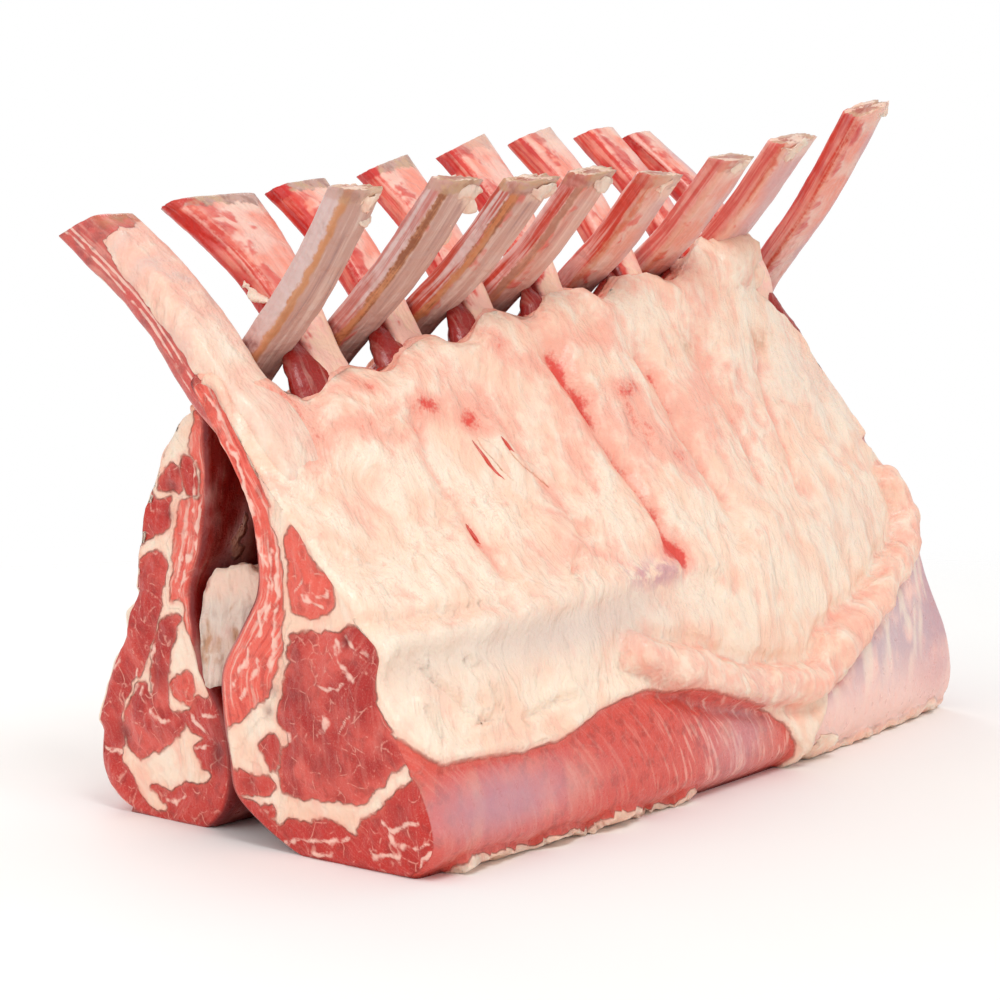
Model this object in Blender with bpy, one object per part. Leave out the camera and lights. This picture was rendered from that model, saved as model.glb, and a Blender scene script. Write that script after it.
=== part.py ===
# A raw guard of honour: two frenched racks of lamb that lean together with their ribs crossed.
# Metres, +Z up. X runs along the racks, the near rack is on the -Y side and the far one on +Y.
# The sections below are in millimetres, measured from the table and from the line between the racks.

import math

import bmesh
import bpy
import numpy as np
from mathutils import Vector, noise

MM = 0.001
GAP = 0.3             # clearance between pieces that touch
LEAN_GAP = 0.45       # and round a muscle, whose outline narrows along the rack
ORIGIN = (123.6, -4.7)  # the middle of the footprint, as x and y in the sections' own frame

FAT_STATIONS = {"near": 25, "far": 17}  # sections along a rack's fat
LEAN_STATIONS = 9     # sections along a muscle
EDGE_STATIONS = 15    # sections along what ends at the trimmed edge
RIB_RINGS = 9         # rings along a rib
RIB_SIDES = 8

# Each section is a list of levels from the table up: (inner y, z), (outer y, z).
# The three sections stand at the near end, halfway and at the far end.
NEAR_SECTIONS = [
    [((-20, 0), (-54, 0)), ((-11, 5), (-59.5, 5)), ((-4.5, 10.5), (-60.5, 11)), ((-4, 18), (-58.5, 18)),
     ((-3.6, 27), (-54, 26)), ((-5, 36), (-50.5, 36)), ((-11.5, 44.5), (-49.5, 44.5)),
     ((-17, 52), (-44, 51.5)), ((-18.3, 60), (-37.5, 58.5)), ((-17.5, 69), (-30.5, 66.5)),
     ((-14, 77.5), (-24.5, 75)), ((-9.5, 85), (-18.5, 83.5)), ((-5, 92), (-13, 92)),
     ((-0.5, 98), (-7.5, 99))],
    [((-16, 0), (-52, 0)), ((-8, 6), (-57, 5)), ((-3, 13), (-58, 12)), ((-2.5, 22), (-57.5, 20)),
     ((-3, 32), (-56, 30)), ((-5, 42), (-54, 41)), ((-10, 52), (-51, 51)),
     ((-15, 61), (-46.5, 60)), ((-17.5, 70), (-40.5, 69)), ((-17.5, 80), (-34, 79)),
     ((-15.5, 91), (-28, 90)), ((-12, 102), (-22, 101.5)), ((-7, 113), (-16.5, 113)),
     ((-1.5, 124), (-10, 125))],
    [((-14, 0), (-40, 0)), ((-7, 5), (-45, 5)), ((-3, 12), (-47, 12)), ((-2.5, 21), (-47, 21)),
     ((-3, 31), (-46, 31)), ((-5, 41), (-44, 41.5)), ((-9, 51), (-41, 51.5)),
     ((-13, 60), (-37.5, 61)), ((-15.5, 70), (-34, 70.5)), ((-16.5, 80), (-30, 80)),
     ((-15.5, 91), (-25.5, 91)), ((-12.5, 103), (-20.5, 103)), ((-8, 116), (-15.5, 116)),
     ((-3, 130), (-10.5, 131))],
]
FAR_SECTIONS = [
    [((8, 0), (36, 0)), ((3, 5), (42.5, 4.5)), ((0.5, 11), (44.6, 11)), ((0, 18), (43, 18)),
     ((1.5, 26), (39.7, 26)), ((5.5, 34), (34.5, 34)), ((6.5, 43), (28.8, 42)),
     ((5.5, 51), (25.2, 50.5)), ((1.5, 58.5), (23, 58.5)), ((-1, 66), (20, 67)),
     ((-2.5, 74), (14, 75)), ((-3.5, 82), (8, 82.5)), ((-5, 90), (1.5, 90)), ((-8, 97), (-3.5, 97))],
    [((10, 0), (44, 0)), ((5, 6), (49, 5)), ((2, 13), (51, 12)), ((1.5, 22), (51, 20)),
     ((3, 32), (49.5, 30)), ((5.5, 41), (46.5, 40)), ((8, 50), (42, 49.5)),
     ((8, 59), (36.5, 58.5)), ((7, 68), (30.5, 67.5)), ((6, 77), (24.5, 77)),
     ((4, 86), (18.5, 86)), ((1.5, 96), (13, 96)), ((-2, 106), (7, 106)), ((-6, 115), (1, 115))],
    [((10, 0), (38, 0)), ((5, 6), (43, 5)), ((2, 13), (45, 12)), ((1.5, 22), (45, 21)),
     ((3, 32), (44, 31)), ((5.5, 42), (41.5, 42)), ((8, 52), (38, 52)),
     ((8, 61), (33.5, 61.5)), ((7, 70), (29, 71)), ((6, 80), (24, 81)),
     ((4, 91), (19.5, 92)), ((1.5, 102), (15, 103)), ((-1, 113), (10, 114)), ((-4, 124), (5, 125))],
]

# Evenly spaced along the rack: the height of the trimmed edge that the ribs come out of,
# and of the line on the outer side where the fat ends and the muscle below it shows.
TRIM_EDGES = {"near": [87, 100, 112, 117.5, 109], "far": [88, 98, 105, 110, 108]}
CAP_EDGES = {"near": [20.5, 21.5, 25, 27, 19, 8, 6, 6, 6], "far": [18.5, 20, 20, 19, 18]}
VALLEY_DEPTH, VALLEY_WIDTH = 4.0, 6.0       # the edge dips between each two ribs
ROUND_CORNER = {"above": 80, "amount": 0.012}  # the top of the far end falls back, as a share of the height squared
# The untrimmed lump at the near rack's last ribs: its place along the rack, how much it raises the edge
# and how wide it is, then the height of its middle, its reach down from there and how far it stands out.
FAT_LUMP = {"x": 160, "height": 13, "width": 15, "z": 118, "reach": 12, "proud": 4}

# What the near cut face shows, as outlines (y, z) on that face.
NEAR_FACE = {
    "eye": [(-25.7, 43.7), (-34, 47.5), (-42, 48), (-46.3, 44.5), (-47, 36), (-48, 29.5), (-51, 26.5),
            (-52, 22.5), (-48.5, 18), (-41, 14.4), (-27, 13), (-19.5, 14), (-19, 20), (-19.4, 27), (-22.4, 36)],
    "blade": [(-29, 64), (-33, 59.5), (-37, 54.5), (-37.2, 51), (-33.6, 49), (-30, 50), (-28.6, 53.5), (-28.2, 58.5)],
    "seam": [(-15.5, 26.5), (-18.5, 30), (-20.4, 36), (-23.2, 42), (-25.8, 49), (-26.6, 56), (-26, 61),
             (-23.6, 67), (-20, 74), (-15.6, 81), (-11.5, 88)],
    "cap": [(-7.5, 9), (-14, 7.6), (-21, 8.6), (-30, 8.2), (-38, 7.2), (-44.5, 10.2), (-50, 15), (-56, 19.5)],
    "chine": [(-5, 20.6), (-4.8, 17.8), (-8, 14.2), (-12, 12), (-14.2, 13.4), (-11.5, 16), (-8, 18.6)],
}
FAR_FACE = {
    "eye": [(9.5, 13.5), (18, 12), (28, 13), (35.5, 17.5), (37.5, 24), (33.5, 30.5), (28, 36), (23, 43),
            (18.5, 43.5), (15, 38), (12, 30), (9.5, 22)],
    "blade": [(13, 64.5), (19, 63), (19.8, 57), (20.8, 50.5), (17, 49), (13.6, 52), (12.6, 58)],
    "seam": [(5.5, 27), (8.6, 31.5), (10.6, 38), (11.6, 46), (10.4, 54), (8.6, 62), (5.6, 70), (2.4, 78), (-1, 86)],
    "cap": [(2.6, 9), (8, 8), (16, 7.6), (25, 8), (32, 10), (37.5, 14), (41.5, 18.5)],
}

RACKS = {
    "near": {"sections": NEAR_SECTIONS, "face": NEAR_FACE, "start": 0, "length": 235, "slants": (0.14, 0.33)},
    "far": {"sections": FAR_SECTIONS, "face": FAR_FACE, "start": 5, "length": 257, "slants": (0.14, 0.24)},
}

# The ribs from the near end of each rack: (x, y, z) where they leave the meat and at the middle
# of the sawn tip, the widths at both places, the thickness, and the slope of the tip's face along x.
# bows and rise are the shares of the free length by which a rib arches outwards and upwards, tilt
# is the slope of the tips' faces along y, and belly is how much wider a rib is at its middle.
RIBS = {
    "near": {
        "leaves": [(-4.8, -8.5, 91), (19.4, -9.5, 96), (44.1, -10, 100), (67.9, -10.5, 106),
            (92.6, -11, 111), (125.5, -11.5, 114), (153.3, -12, 116), (179.5, -12, 120)],
        "tips": [(-8.4, 26.5, 124.5), (20.8, 24, 131), (46, 23, 135.6), (73.5, 22, 142),
            (101, 21, 148.7), (126.5, 20, 153), (152.5, 19, 155.8), (168.5, 18, 156)],
        "widths": [14, 11.5, 11, 11, 11, 11, 10.3, 10.5],
        "tip_widths": [13, 28, 18.5, 18.5, 19, 17, 14, 12],
        "thickness": [11, 6.5, 6.5, 6.5, 6.5, 6.5, 6.5, 6.5],
        "slopes": [-0.12, -0.16, -0.22, -0.36, -0.4, -0.33, -0.2, -0.2],
        "bows": [0.05, 0.05, 0.05, 0.05, 0.05, 0.05, 0.05, 0.05],
        "tilt": 0.35,
        "low_level": 6.3,
        "rise": 0.02,
        "belly": 0.0,
    },
    "far": {
        "leaves": [(7, -1, 93), (31.5, 0, 97), (55.8, 1, 101), (82, 2, 105),
            (115, 3, 109), (143, 3.5, 112), (168.6, 4, 114), (211, 5, 116)],
        "tips": [(7.5, -31, 130.5), (36.5, -32, 134), (59.8, -33, 135.5), (81.5, -33, 138.5),
            (106, -34, 139.5), (133.2, -36, 145), (156, -39, 151), (187, -42, 161)],
        "widths": [9.9, 9.6, 9.6, 10.5, 10.5, 10.5, 10, 10.5],
        "tip_widths": [10, 10, 11, 9.5, 10, 10, 12, 11],
        "thickness": [6.2, 6.2, 6.2, 6.2, 6.2, 6.2, 6.2, 6.2],
        "slopes": [-0.1, -0.1, -0.2, -0.25, -0.1, -0.2, -0.3, -0.5],
        "bows": [-0.05, -0.05, -0.05, -0.05, -0.04, -0.04, -0.04, -0.03],
        "tilt": -0.2,
        "low_level": 8.3,
        "rise": 0.01,
        "belly": 0.06,
    },
}
RIB_PROUD = 2.05      # how far a rib stands out of the rack's inner face
RIB_SLANT = 0.30      # the ribs' lower ends lie towards the far end
RIB_LEAVES = 0.62     # the share of its length at which a rib leaves the meat
RIB_FLARE = 1.5       # how late it widens to its tip
RIB_FOOT = 0.86       # how narrow its lower end is
RIB_SQUARE = 2.6      # the power of a rib's section: 2 is an ellipse, more is squarer
RIB_SWELL = 0.05      # the unevenness of a rib, and how it changes from rib to rib and along one
RIB_SWELL_APART, RIB_SWELL_STEP, RIB_SEED_STEP = 1.7, 0.9, 10
LOW_POINTS = 4        # points of a rib's line inside the meat; the last lies BELOW_LEAVES levels under its way out
BELOW_LEAVES = 1

# The sawn backbone between the racks, as its near and far outlines (y, z) and its length.
BACKBONE = {
    "near": [(2.6, 30.5), (4.4, 35), (5.2, 43), (4.1, 50), (0.7, 55), (-5, 56), (-10.2, 54), (-9.6, 49),
             (-6.2, 42), (-1.9, 34)],
    "far": [(1, 33.5), (2.6, 38), (5.2, 46), (6.4, 54), (3.6, 60), (-2, 62), (-8, 60), (-7.6, 55),
            (-4, 47), (-1.2, 39)],
    "start": 0, "length": 225, "slant": 0.16, "vertebra": 28, "swell": 0.07, "sides": 12, "rings": 22,
}

# Grooves between the ribs that show through the fat: (x, z) at both ends, depth and half width.
GROOVES = [
    ((31, 84), (34, 56), 1.6, 3.2), ((54, 90), (64, 62), 1.2, 3.4), ((81, 98), (94, 53), 2.4, 3.4),
    ((114, 98), (122, 66), 2.2, 3.6), ((140, 100), (142, 68), 1.6, 3.6), ((169, 102), (160, 66), 1.8, 3.8),
]
# The thick edge of the fat that crosses the far end of the near rack: (x, z) along it.
FAT_ROLL = [(69, 35), (92, 28), (114, 23), (138, 21), (156, 28), (177, 36), (198, 44.5), (209, 54), (208, 64)]
ROLL_HEIGHT, ROLL_WIDTH = 2.4, 5.5
LUMPS = 1.6           # the soft unevenness of the outer face
LUMP_SIZE = (26, 20)  # its size along x and z
LUMP_SEED = 3.7
FLAT_FOOT = 12        # the relief fades out below this height

FAT_LOOP = {"under": 7, "outer": 17, "inner": 8}  # points of the fat's outline: its seam, outer and inner face
CAP_LOOP = {"lid": 7, "outer": 5, "inner": 4}     # and of the cap muscle's
CAP_LEAST = (0.8, 0.5)  # the least levels of the seam over the cap, inside and outside
CAP_CURVE = 3         # how late the seam bends to its outer end
SEAM_SIDES = 12       # points of the seam beside the meat between the ribs
STRIP_LEVELS = 8
CUTTER_ABOVE, CUTTER_INSIDE = 3, 4  # how far the strip's cutter reaches past its top and inner face


def clearScene():
    for obj in list(bpy.data.objects):
        bpy.data.objects.remove(obj)


def catmullRom(points, at):
    """Points of a smooth open curve; at counts the given points from 0."""
    points = np.asarray(points, float)
    last = len(points) - 1
    at = np.asarray(at, float)
    i = np.clip(np.floor(at).astype(int), 0, last - 1)
    f = (at - i).reshape(at.shape + (1,) * (points.ndim - 1))
    p0, p1, p2, p3 = (points[np.clip(i + k, 0, last)] for k in (-1, 0, 1, 2))
    return 0.5 * (2 * p1 + (p2 - p0) * f + (2 * p0 - 5 * p1 + 4 * p2 - p3) * f**2 + (3 * p1 - p0 - 3 * p2 + p3) * f**3)


def spread(values, along):
    """The value at a place from 0 to 1 of numbers that are evenly spaced along the rack."""
    return float(catmullRom(values, np.array([np.clip(along, 0, 1) * (len(values) - 1)]))[0])


def smoothLoop(points, count):
    """A closed smooth curve through the points, as count of them."""
    ring = np.asarray(points, float)
    wrapped = np.vstack([ring[-1], ring, ring[:2]])
    return catmullRom(wrapped, 1 + np.arange(count) * len(ring) / count)


def smoothLine(points, count):
    return catmullRom(points, np.linspace(0, len(points) - 1, count))


def offsetLoop(loop, distance):
    """A closed (y, z) outline moved outwards, or inwards for a negative distance."""
    ahead, behind = np.roll(loop, -1, 0), np.roll(loop, 1, 0)
    tangent = ahead - behind
    tangent /= np.linalg.norm(tangent, axis=1)[:, None]
    turning = np.sign(np.sum(loop[:, 0] * ahead[:, 1] - ahead[:, 0] * loop[:, 1]))
    return loop + turning * distance * np.column_stack([tangent[:, 1], -tangent[:, 0]])


def bell(distance):
    return np.exp(-np.square(distance))


class Rack:
    """One rack as a block: along it (0 to 1), level (0 at the table), depth (0 inner, 1 outer)."""

    def __init__(self, name, sections, face, start, length, slants):
        self.name, self.face, self.start, self.length, self.slants = name, face, start, length, slants
        self.sections = np.array(sections, float)
        self.side = -1 if name == "near" else 1
        self.levels = self.sections.shape[1] - 1
        bases = [leaves[0] for leaves in RIBS[name]["leaves"]]
        self.valleys = [(one + two) / 2 for one, two in zip(bases, bases[1:])]

    def flat(self, along, level, depth):
        """(y, z) of points of the section at that place."""
        a, b, c = self.sections
        rows = a * (1 - along) * (1 - 2 * along) + b * 4 * along * (1 - along) + c * along * (2 * along - 1)
        inner = catmullRom(rows[:, 0], level)
        outer = catmullRom(rows[:, 1], level)
        return inner + (outer - inner) * np.asarray(depth, float)[:, None]

    def point(self, along, level, depth):
        """(x, y, z) of points of the section, which stands at the ribs' slant."""
        yz = self.flat(along, level, depth)
        slant = self.slants[0] + (self.slants[1] - self.slants[0]) * along
        x = self.start + self.length * along - slant * yz[:, 1]
        x -= ROUND_CORNER["amount"] * np.maximum(0, yz[:, 1] - ROUND_CORNER["above"]) ** 2 * max(0, along) ** 8
        return np.column_stack([x, yz])

    def locate(self, outline):
        """(levels, depths) of points that are given as (y, z) on the near cut face."""
        found = []
        grid = [(t, v) for t in np.linspace(0, self.levels, 61) for v in np.linspace(-0.05, 1.05, 23)]
        ts, vs = (np.array(column) for column in zip(*grid))
        places = self.flat(0, ts, vs)
        for target in np.asarray(outline, float):
            nearest = int(np.argmin(((places - target) ** 2).sum(1)))
            guess = np.array([ts[nearest], vs[nearest]])
            for _ in range(6):
                step = 1e-3
                here, up, out = (self.flat(0, [t], [v])[0] for t, v in (
                    guess, guess + (step, 0), guess + (0, step)))
                slope = np.column_stack([(up - here) / step, (out - here) / step])
                guess = guess + np.linalg.lstsq(slope, target - here, rcond=None)[0]
            found.append(guess)
        return np.array(found)

    def alongAt(self, x, level):
        """How far along the rack, 0 to 1, its inner face has that x at that level."""
        along = (x - self.start) / self.length
        for _ in range(6):
            along += (x - self.point(along, [level], [0])[0, 0]) / self.length
        return along

    def levelAt(self, along, height, depth):
        """The level at which the section has that height."""
        levels = np.linspace(0, self.levels, 8 * self.levels + 1)
        return float(np.interp(height, self.flat(along, levels, np.full(len(levels), depth))[:, 1], levels))

    def trimLevel(self, along):
        """The level of the trimmed edge: it dips between the ribs and rises over the lump."""
        height = spread(TRIM_EDGES[self.name], along)
        for _ in range(2):
            x = self.point(along, [self.levelAt(along, height, 1)], [1])[0, 0]
            height = spread(TRIM_EDGES[self.name], along)
            height -= VALLEY_DEPTH * sum(bell((x - valley) / VALLEY_WIDTH) for valley in self.valleys)
            if self.name == "near":
                height += FAT_LUMP["height"] * bell((x - FAT_LUMP["x"]) / FAT_LUMP["width"])
        return self.levelAt(along, height, 1)

    def capLine(self, along, count):
        """(levels, depths) of the seam over the bottom muscle, from the inner to the outer face."""
        line = smoothLine(self.locate(self.face["cap"]), count)
        line[0, 1], line[-1, 1] = 0, 1
        rise = self.levelAt(along, spread(CAP_EDGES[self.name], along), 1) - line[-1, 0]
        line[:, 0] += rise * line[:, 1] ** CAP_CURVE
        line[:, 0] = np.maximum(line[:, 0], np.linspace(*CAP_LEAST, count))
        return line


# ---- the fat's outer face -------------------------------------------------------------


def distanceToLine(x, z, line):
    """Distance of points from an open polyline."""
    best = np.full(np.shape(x), 1e9)
    for (x0, z0), (x1, z1) in zip(line, line[1:]):
        dx, dz = x1 - x0, z1 - z0
        f = np.clip(((x - x0) * dx + (z - z0) * dz) / (dx * dx + dz * dz), 0, 1)
        best = np.minimum(best, np.hypot(x - x0 - f * dx, z - z0 - f * dz))
    return best


def relief(points, side):
    """How far the outer face stands out at each point, in millimetres."""
    x, z = points[:, 0], points[:, 2]
    height = np.zeros(len(points))
    if side < 0:
        for start, end, depth, half in GROOVES:
            height -= depth * bell(distanceToLine(x, z, [start, end]) / half)
        height += ROLL_HEIGHT * bell(distanceToLine(x, z, FAT_ROLL) / ROLL_WIDTH)
        lump = bell((x - FAT_LUMP["x"]) / FAT_LUMP["width"]) * bell((z - FAT_LUMP["z"]) / FAT_LUMP["reach"])
        height += FAT_LUMP["proud"] * lump
    sizeX, sizeZ = LUMP_SIZE
    lumps = [noise.noise(Vector((p[0] / sizeX, side * LUMP_SEED, p[2] / sizeZ))) for p in points]
    return (height + LUMPS * np.array(lumps)) * np.clip(z / FLAT_FOOT, 0, 1)


def standOut(ring, rows, side):
    """Moves those rows of a ring outwards by the relief."""
    part = ring[rows]
    tangent = np.gradient(part[:, 1:], axis=0)
    normal = np.column_stack([tangent[:, 1], -tangent[:, 0]]) / np.linalg.norm(tangent, axis=1)[:, None]
    outward = normal * np.where(normal[:, :1] * side < 0, -1, 1)
    ring[rows, 1:] = part[:, 1:] + outward * relief(part, side)[:, None]


# ---- solids ---------------------------------------------------------------------------


def material(name, colour, roughness):
    made = bpy.data.materials.get(name) or bpy.data.materials.new(name)
    made.use_nodes = True
    shader = made.node_tree.nodes["Principled BSDF"]
    shader.inputs["Base Color"].default_value = (*colour, 1)
    shader.inputs["Roughness"].default_value = roughness
    shader.inputs["Metallic"].default_value = 0
    return made


def loft(name, rings, finish, collection):
    """A closed solid through rings of points in millimetres, with a flat face at each end."""
    form = bmesh.new()
    shift = Vector((ORIGIN[0], ORIGIN[1], 0))
    loops = [[form.verts.new((Vector(p) - shift) * MM) for p in ring] for ring in rings]
    count = len(loops[0])
    for first, second in zip(loops, loops[1:]):
        for i in range(count):
            j = (i + 1) % count
            form.faces.new((first[i], first[j], second[j]))
            form.faces.new((first[i], second[j], second[i]))
    form.faces.new(loops[0][::-1])
    form.faces.new(loops[-1])
    bmesh.ops.recalc_face_normals(form, faces=form.faces)
    mesh = bpy.data.meshes.new(name)
    form.to_mesh(mesh)
    form.free()
    obj = bpy.data.objects.new(name, mesh)
    collection.objects.link(obj)
    if finish:
        mesh.materials.append(material(*finish))
        mesh.shade_smooth()
        mesh.set_sharp_from_angle(angle=math.radians(40))
    return obj


def makeCutter(name, rings, collection):
    cutter = loft(name, rings, None, collection)
    cutter.hide_render = True
    cutter.display_type = "WIRE"
    return cutter


def cut(body, cutters, collection):
    """Takes every cutter out of the body with one modifier."""
    group = bpy.data.collections.new(body.name + "_cutters")
    collection.children.link(group)
    for cutter in cutters:
        group.objects.link(cutter)
    modifier = body.modifiers.new("cuts", "BOOLEAN")
    modifier.operation = "DIFFERENCE"
    modifier.operand_type = "COLLECTION"
    modifier.collection = group
    modifier.solver = "EXACT"


# ---- meat and fat ---------------------------------------------------------------------


def fatRings(rack):
    """The block above the cap muscle, out to the trimmed edge; its outer face carries the relief."""
    underCount, outerCount, innerCount = FAT_LOOP.values()
    rings = []
    for along in np.linspace(0, 1, FAT_STATIONS[rack.name]):
        under = rack.capLine(along, underCount)
        top = rack.trimLevel(along)
        level = np.concatenate([
            under[:, 0], np.linspace(under[-1, 0], top, outerCount)[1:], np.linspace(top, under[0, 0], innerCount)[:-1]])
        depth = np.concatenate([under[:, 1], np.ones(outerCount - 1), np.zeros(innerCount - 1)])
        ring = rack.point(along, level, depth)
        standOut(ring, slice(underCount - 1, underCount + outerCount - 1), rack.side)
        rings.append(ring)
    return rings


def throughRings(rack, outline, sides, past=0.0, grow=0.0):
    """Rings of a muscle that runs the rack's length, from its outline on the near face."""
    loop = offsetLoop(smoothLoop(outline, sides), grow)
    places = rack.locate(loop)
    return [rack.point(along, places[:, 0], places[:, 1]) for along in np.linspace(-past, 1 + past, LEAN_STATIONS)]


def stripRings(rack, past=0.0, grow=0.0):
    """The meat between the ribs: from the rack's inner face out to the seam, up to the trimmed edge."""
    seam = rack.locate(smoothLine(rack.face["seam"], SEAM_SIDES))
    rings = []
    for along in np.linspace(-past, 1 + past, EDGE_STATIONS):
        levels = np.linspace(seam[0, 0], rack.trimLevel(along), STRIP_LEVELS)
        outer = rack.point(along, levels, np.interp(levels, seam[:, 0], seam[:, 1]))
        inner = rack.point(along, levels[::-1], np.zeros(len(levels)))
        if grow:
            outer[:, 1] += rack.side * grow
            outer[0, 2] -= grow
            outer[-1, 2] += CUTTER_ABOVE
            inner[:, 1] -= rack.side * CUTTER_INSIDE
            inner[-1, 2] -= grow
            inner[0, 2] += CUTTER_ABOVE
        rings.append(np.vstack([outer, inner]))
    return rings


def capRings(rack):
    """The muscle that the rack stands on, a gap under the fat."""
    lidCount, outerCount, innerCount = CAP_LOOP.values()
    rings = []
    for along in np.linspace(0, 1, FAT_STATIONS[rack.name]):
        line = rack.capLine(along, lidCount)
        lid = rack.point(along, line[:, 0], line[:, 1])
        outer = rack.point(along, np.linspace(0, line[-1, 0], outerCount), np.ones(outerCount))
        standOut(outer, slice(0, outerCount), rack.side)
        lid[-1] = outer[-1]
        lid[:, 2] -= LEAN_GAP
        inner = rack.point(along, np.linspace(0, line[0, 0], innerCount)[:-1], np.zeros(innerCount - 1))
        rings.append(np.vstack([lid, outer[-2::-1], inner]))
    return rings


# ---- bones ----------------------------------------------------------------------------


def ribLine(rack, number):
    """Points from the backbone up the rack's inner face to where the rib leaves it, then to its tip."""
    form = RIBS[rack.name]
    line = []
    leaves, tip = np.array(form["leaves"][number], float), np.array(form["tips"][number], float)
    leavesLevel = rack.levelAt(rack.alongAt(leaves[0], rack.levels - 1), leaves[2], 0)
    inset = form["thickness"][number] / 2 - RIB_PROUD
    for level in np.linspace(form["low_level"], leavesLevel - BELOW_LEAVES, LOW_POINTS):
        x = leaves[0]
        for _ in range(3):
            place = rack.point(rack.alongAt(x, level), [level], [0])[0]
            x = leaves[0] + RIB_SLANT * (leaves[2] - place[2])
        line.append((x, place[1] + rack.side * inset, place[2]))
    reach = np.linalg.norm(tip - leaves)
    middle = (leaves + tip) / 2 + reach * np.array([0, form["bows"][number] * rack.side, form["rise"]])
    return np.array([*line, leaves, middle, tip])


def ribRings(rack, number, grow=0.0):
    """Rounded flat sections along a rib; the last one is the saw cut."""
    form = RIBS[rack.name]
    width, tipWidth = form["widths"][number], form["tip_widths"][number]
    line = ribLine(rack, number)
    centres = catmullRom(line, np.linspace(0, len(line) - 1, RIB_RINGS))
    tangents = np.gradient(centres, axis=0)
    tangents /= np.linalg.norm(tangents, axis=1)[:, None]
    angles = (np.arange(RIB_SIDES) + 0.5) * 2 * math.pi / RIB_SIDES
    sawCut = np.array([form["slopes"][number], form["tilt"], 1.0])
    seed = number + RIB_SEED_STEP * rack.side
    rings = []
    for k, (centre, tangent) in enumerate(zip(centres, tangents)):
        across = np.array([1.0, 0, 0]) - tangent * tangent[0]
        across /= np.linalg.norm(across)
        through = np.cross(tangent, across)
        share = k / (RIB_RINGS - 1)
        bare = max(0, (share - RIB_LEAVES) / (1 - RIB_LEAVES))
        flare = bare ** RIB_FLARE
        foot = RIB_FOOT + (1 - RIB_FOOT) * min(1, 2 * share)
        halfWidth = (width * foot * (1 - flare) + tipWidth * flare) / 2
        halfWidth = halfWidth * (1 + form["belly"] * math.sin(math.pi * bare)) + grow
        halfThick = form["thickness"][number] / 2 + grow
        swell = 1 + RIB_SWELL * noise.noise(Vector((seed * RIB_SWELL_APART, k * RIB_SWELL_STEP, 0)))
        ring = []
        for angle in angles:
            c, s = math.cos(angle), math.sin(angle)
            square = (abs(c) ** RIB_SQUARE + abs(s) ** RIB_SQUARE) ** (-1 / RIB_SQUARE)
            ring.append(centre + swell * square * (across * c * halfWidth + through * s * halfThick))
        if k == RIB_RINGS - 1:
            ring = [p - tangent * np.dot(p - centre, sawCut) / np.dot(tangent, sawCut) for p in ring]
        rings.append(np.array(ring))
    rings[0] = rings[0] - tangents[0] * grow
    rings[-1] = rings[-1] + tangents[-1] * grow
    return rings


def backboneRings():
    """The sawn vertebrae as one bar that swells at each of them."""
    near, far = (smoothLoop(BACKBONE[end], BACKBONE["sides"]) for end in ("near", "far"))
    rings = []
    for along in np.linspace(0, 1, BACKBONE["rings"]):
        loop = near + (far - near) * along
        middle = loop.mean(0)
        turns = along * BACKBONE["length"] / BACKBONE["vertebra"]
        swell = 1 - BACKBONE["swell"] * (1 - math.cos(2 * math.pi * turns))
        loop = middle + (loop - middle) * swell
        x = BACKBONE["start"] + BACKBONE["length"] * along - BACKBONE["slant"] * loop[:, 1]
        rings.append(np.column_stack([x, loop]))
    return rings


FAT = ("fat", (0.86, 0.68, 0.56), 0.45)
LEAN = ("lean meat", (0.50, 0.08, 0.06), 0.40)
DARK_LEAN = ("rib meat", (0.42, 0.05, 0.04), 0.42)
BONE = ("bone", (0.78, 0.55, 0.46), 0.5)
SAWN_BONE = ("sawn bone", (0.72, 0.62, 0.50), 0.6)
MUSCLES = {"eye": 16, "blade": 8, "chine": 8}  # sides of each outline
CUTTER_PAST = 0.02    # how far a cutter runs past both ends, as a share of the length


def makeRack(rack, parts, helpers):
    name = rack.name
    fat = loft(name + "_fat", fatRings(rack), FAT, parts)
    strip = loft(name + "_rib_meat", stripRings(rack), DARK_LEAN, parts)
    loft(name + "_cap_muscle", capRings(rack), LEAN, parts)
    fatCutters = [makeCutter(name + "_strip_cutter", stripRings(rack, CUTTER_PAST, GAP), helpers)]
    for muscle, sides in MUSCLES.items():
        if muscle in rack.face:
            outline = rack.face[muscle]
            finish = SAWN_BONE if muscle == "chine" else LEAN
            suffix = "" if muscle == "chine" else "_muscle"
            loft(f"{name}_{muscle}{suffix}", throughRings(rack, outline, sides), finish, parts)
            rings = throughRings(rack, outline, sides, CUTTER_PAST, LEAN_GAP)
            fatCutters.append(makeCutter(f"{name}_{muscle}_cutter", rings, helpers))
    ribCutters = []
    for i in range(len(RIBS[name]["leaves"])):
        loft(f"{name}_rib_{i + 1}", ribRings(rack, i), BONE, parts)
        ribCutters.append(makeCutter(f"{name}_rib_cutter_{i + 1}", ribRings(rack, i, GAP), helpers))
    return fat, strip, fatCutters, ribCutters


def main():
    clearScene()
    parts = bpy.data.collections.new("guard_of_honour")
    helpers = bpy.data.collections.new("cutters")
    for group in (parts, helpers):
        bpy.context.scene.collection.children.link(group)
    near, far = (makeRack(Rack(name, **form), parts, helpers) for name, form in RACKS.items())
    for own, other in ((near, far), (far, near)):
        fat, strip, fatCutters, ribCutters = own
        cut(fat, fatCutters + ribCutters + other[3], helpers)
        cut(strip, ribCutters + other[3], helpers)
    loft("backbone", backboneRings(), SAWN_BONE, parts)


main()
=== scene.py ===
# A raw guard of honour of lamb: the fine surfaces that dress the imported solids.
# The racks are worked out in millimetres in their own frame (x along the racks from the near
# end, y from the line between them, z up), and toMetres() moves each mesh into the part's frame.

import itertools
import math

import bmesh
import bpy
import numpy as np
from mathutils import Matrix, Vector, noise


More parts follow.
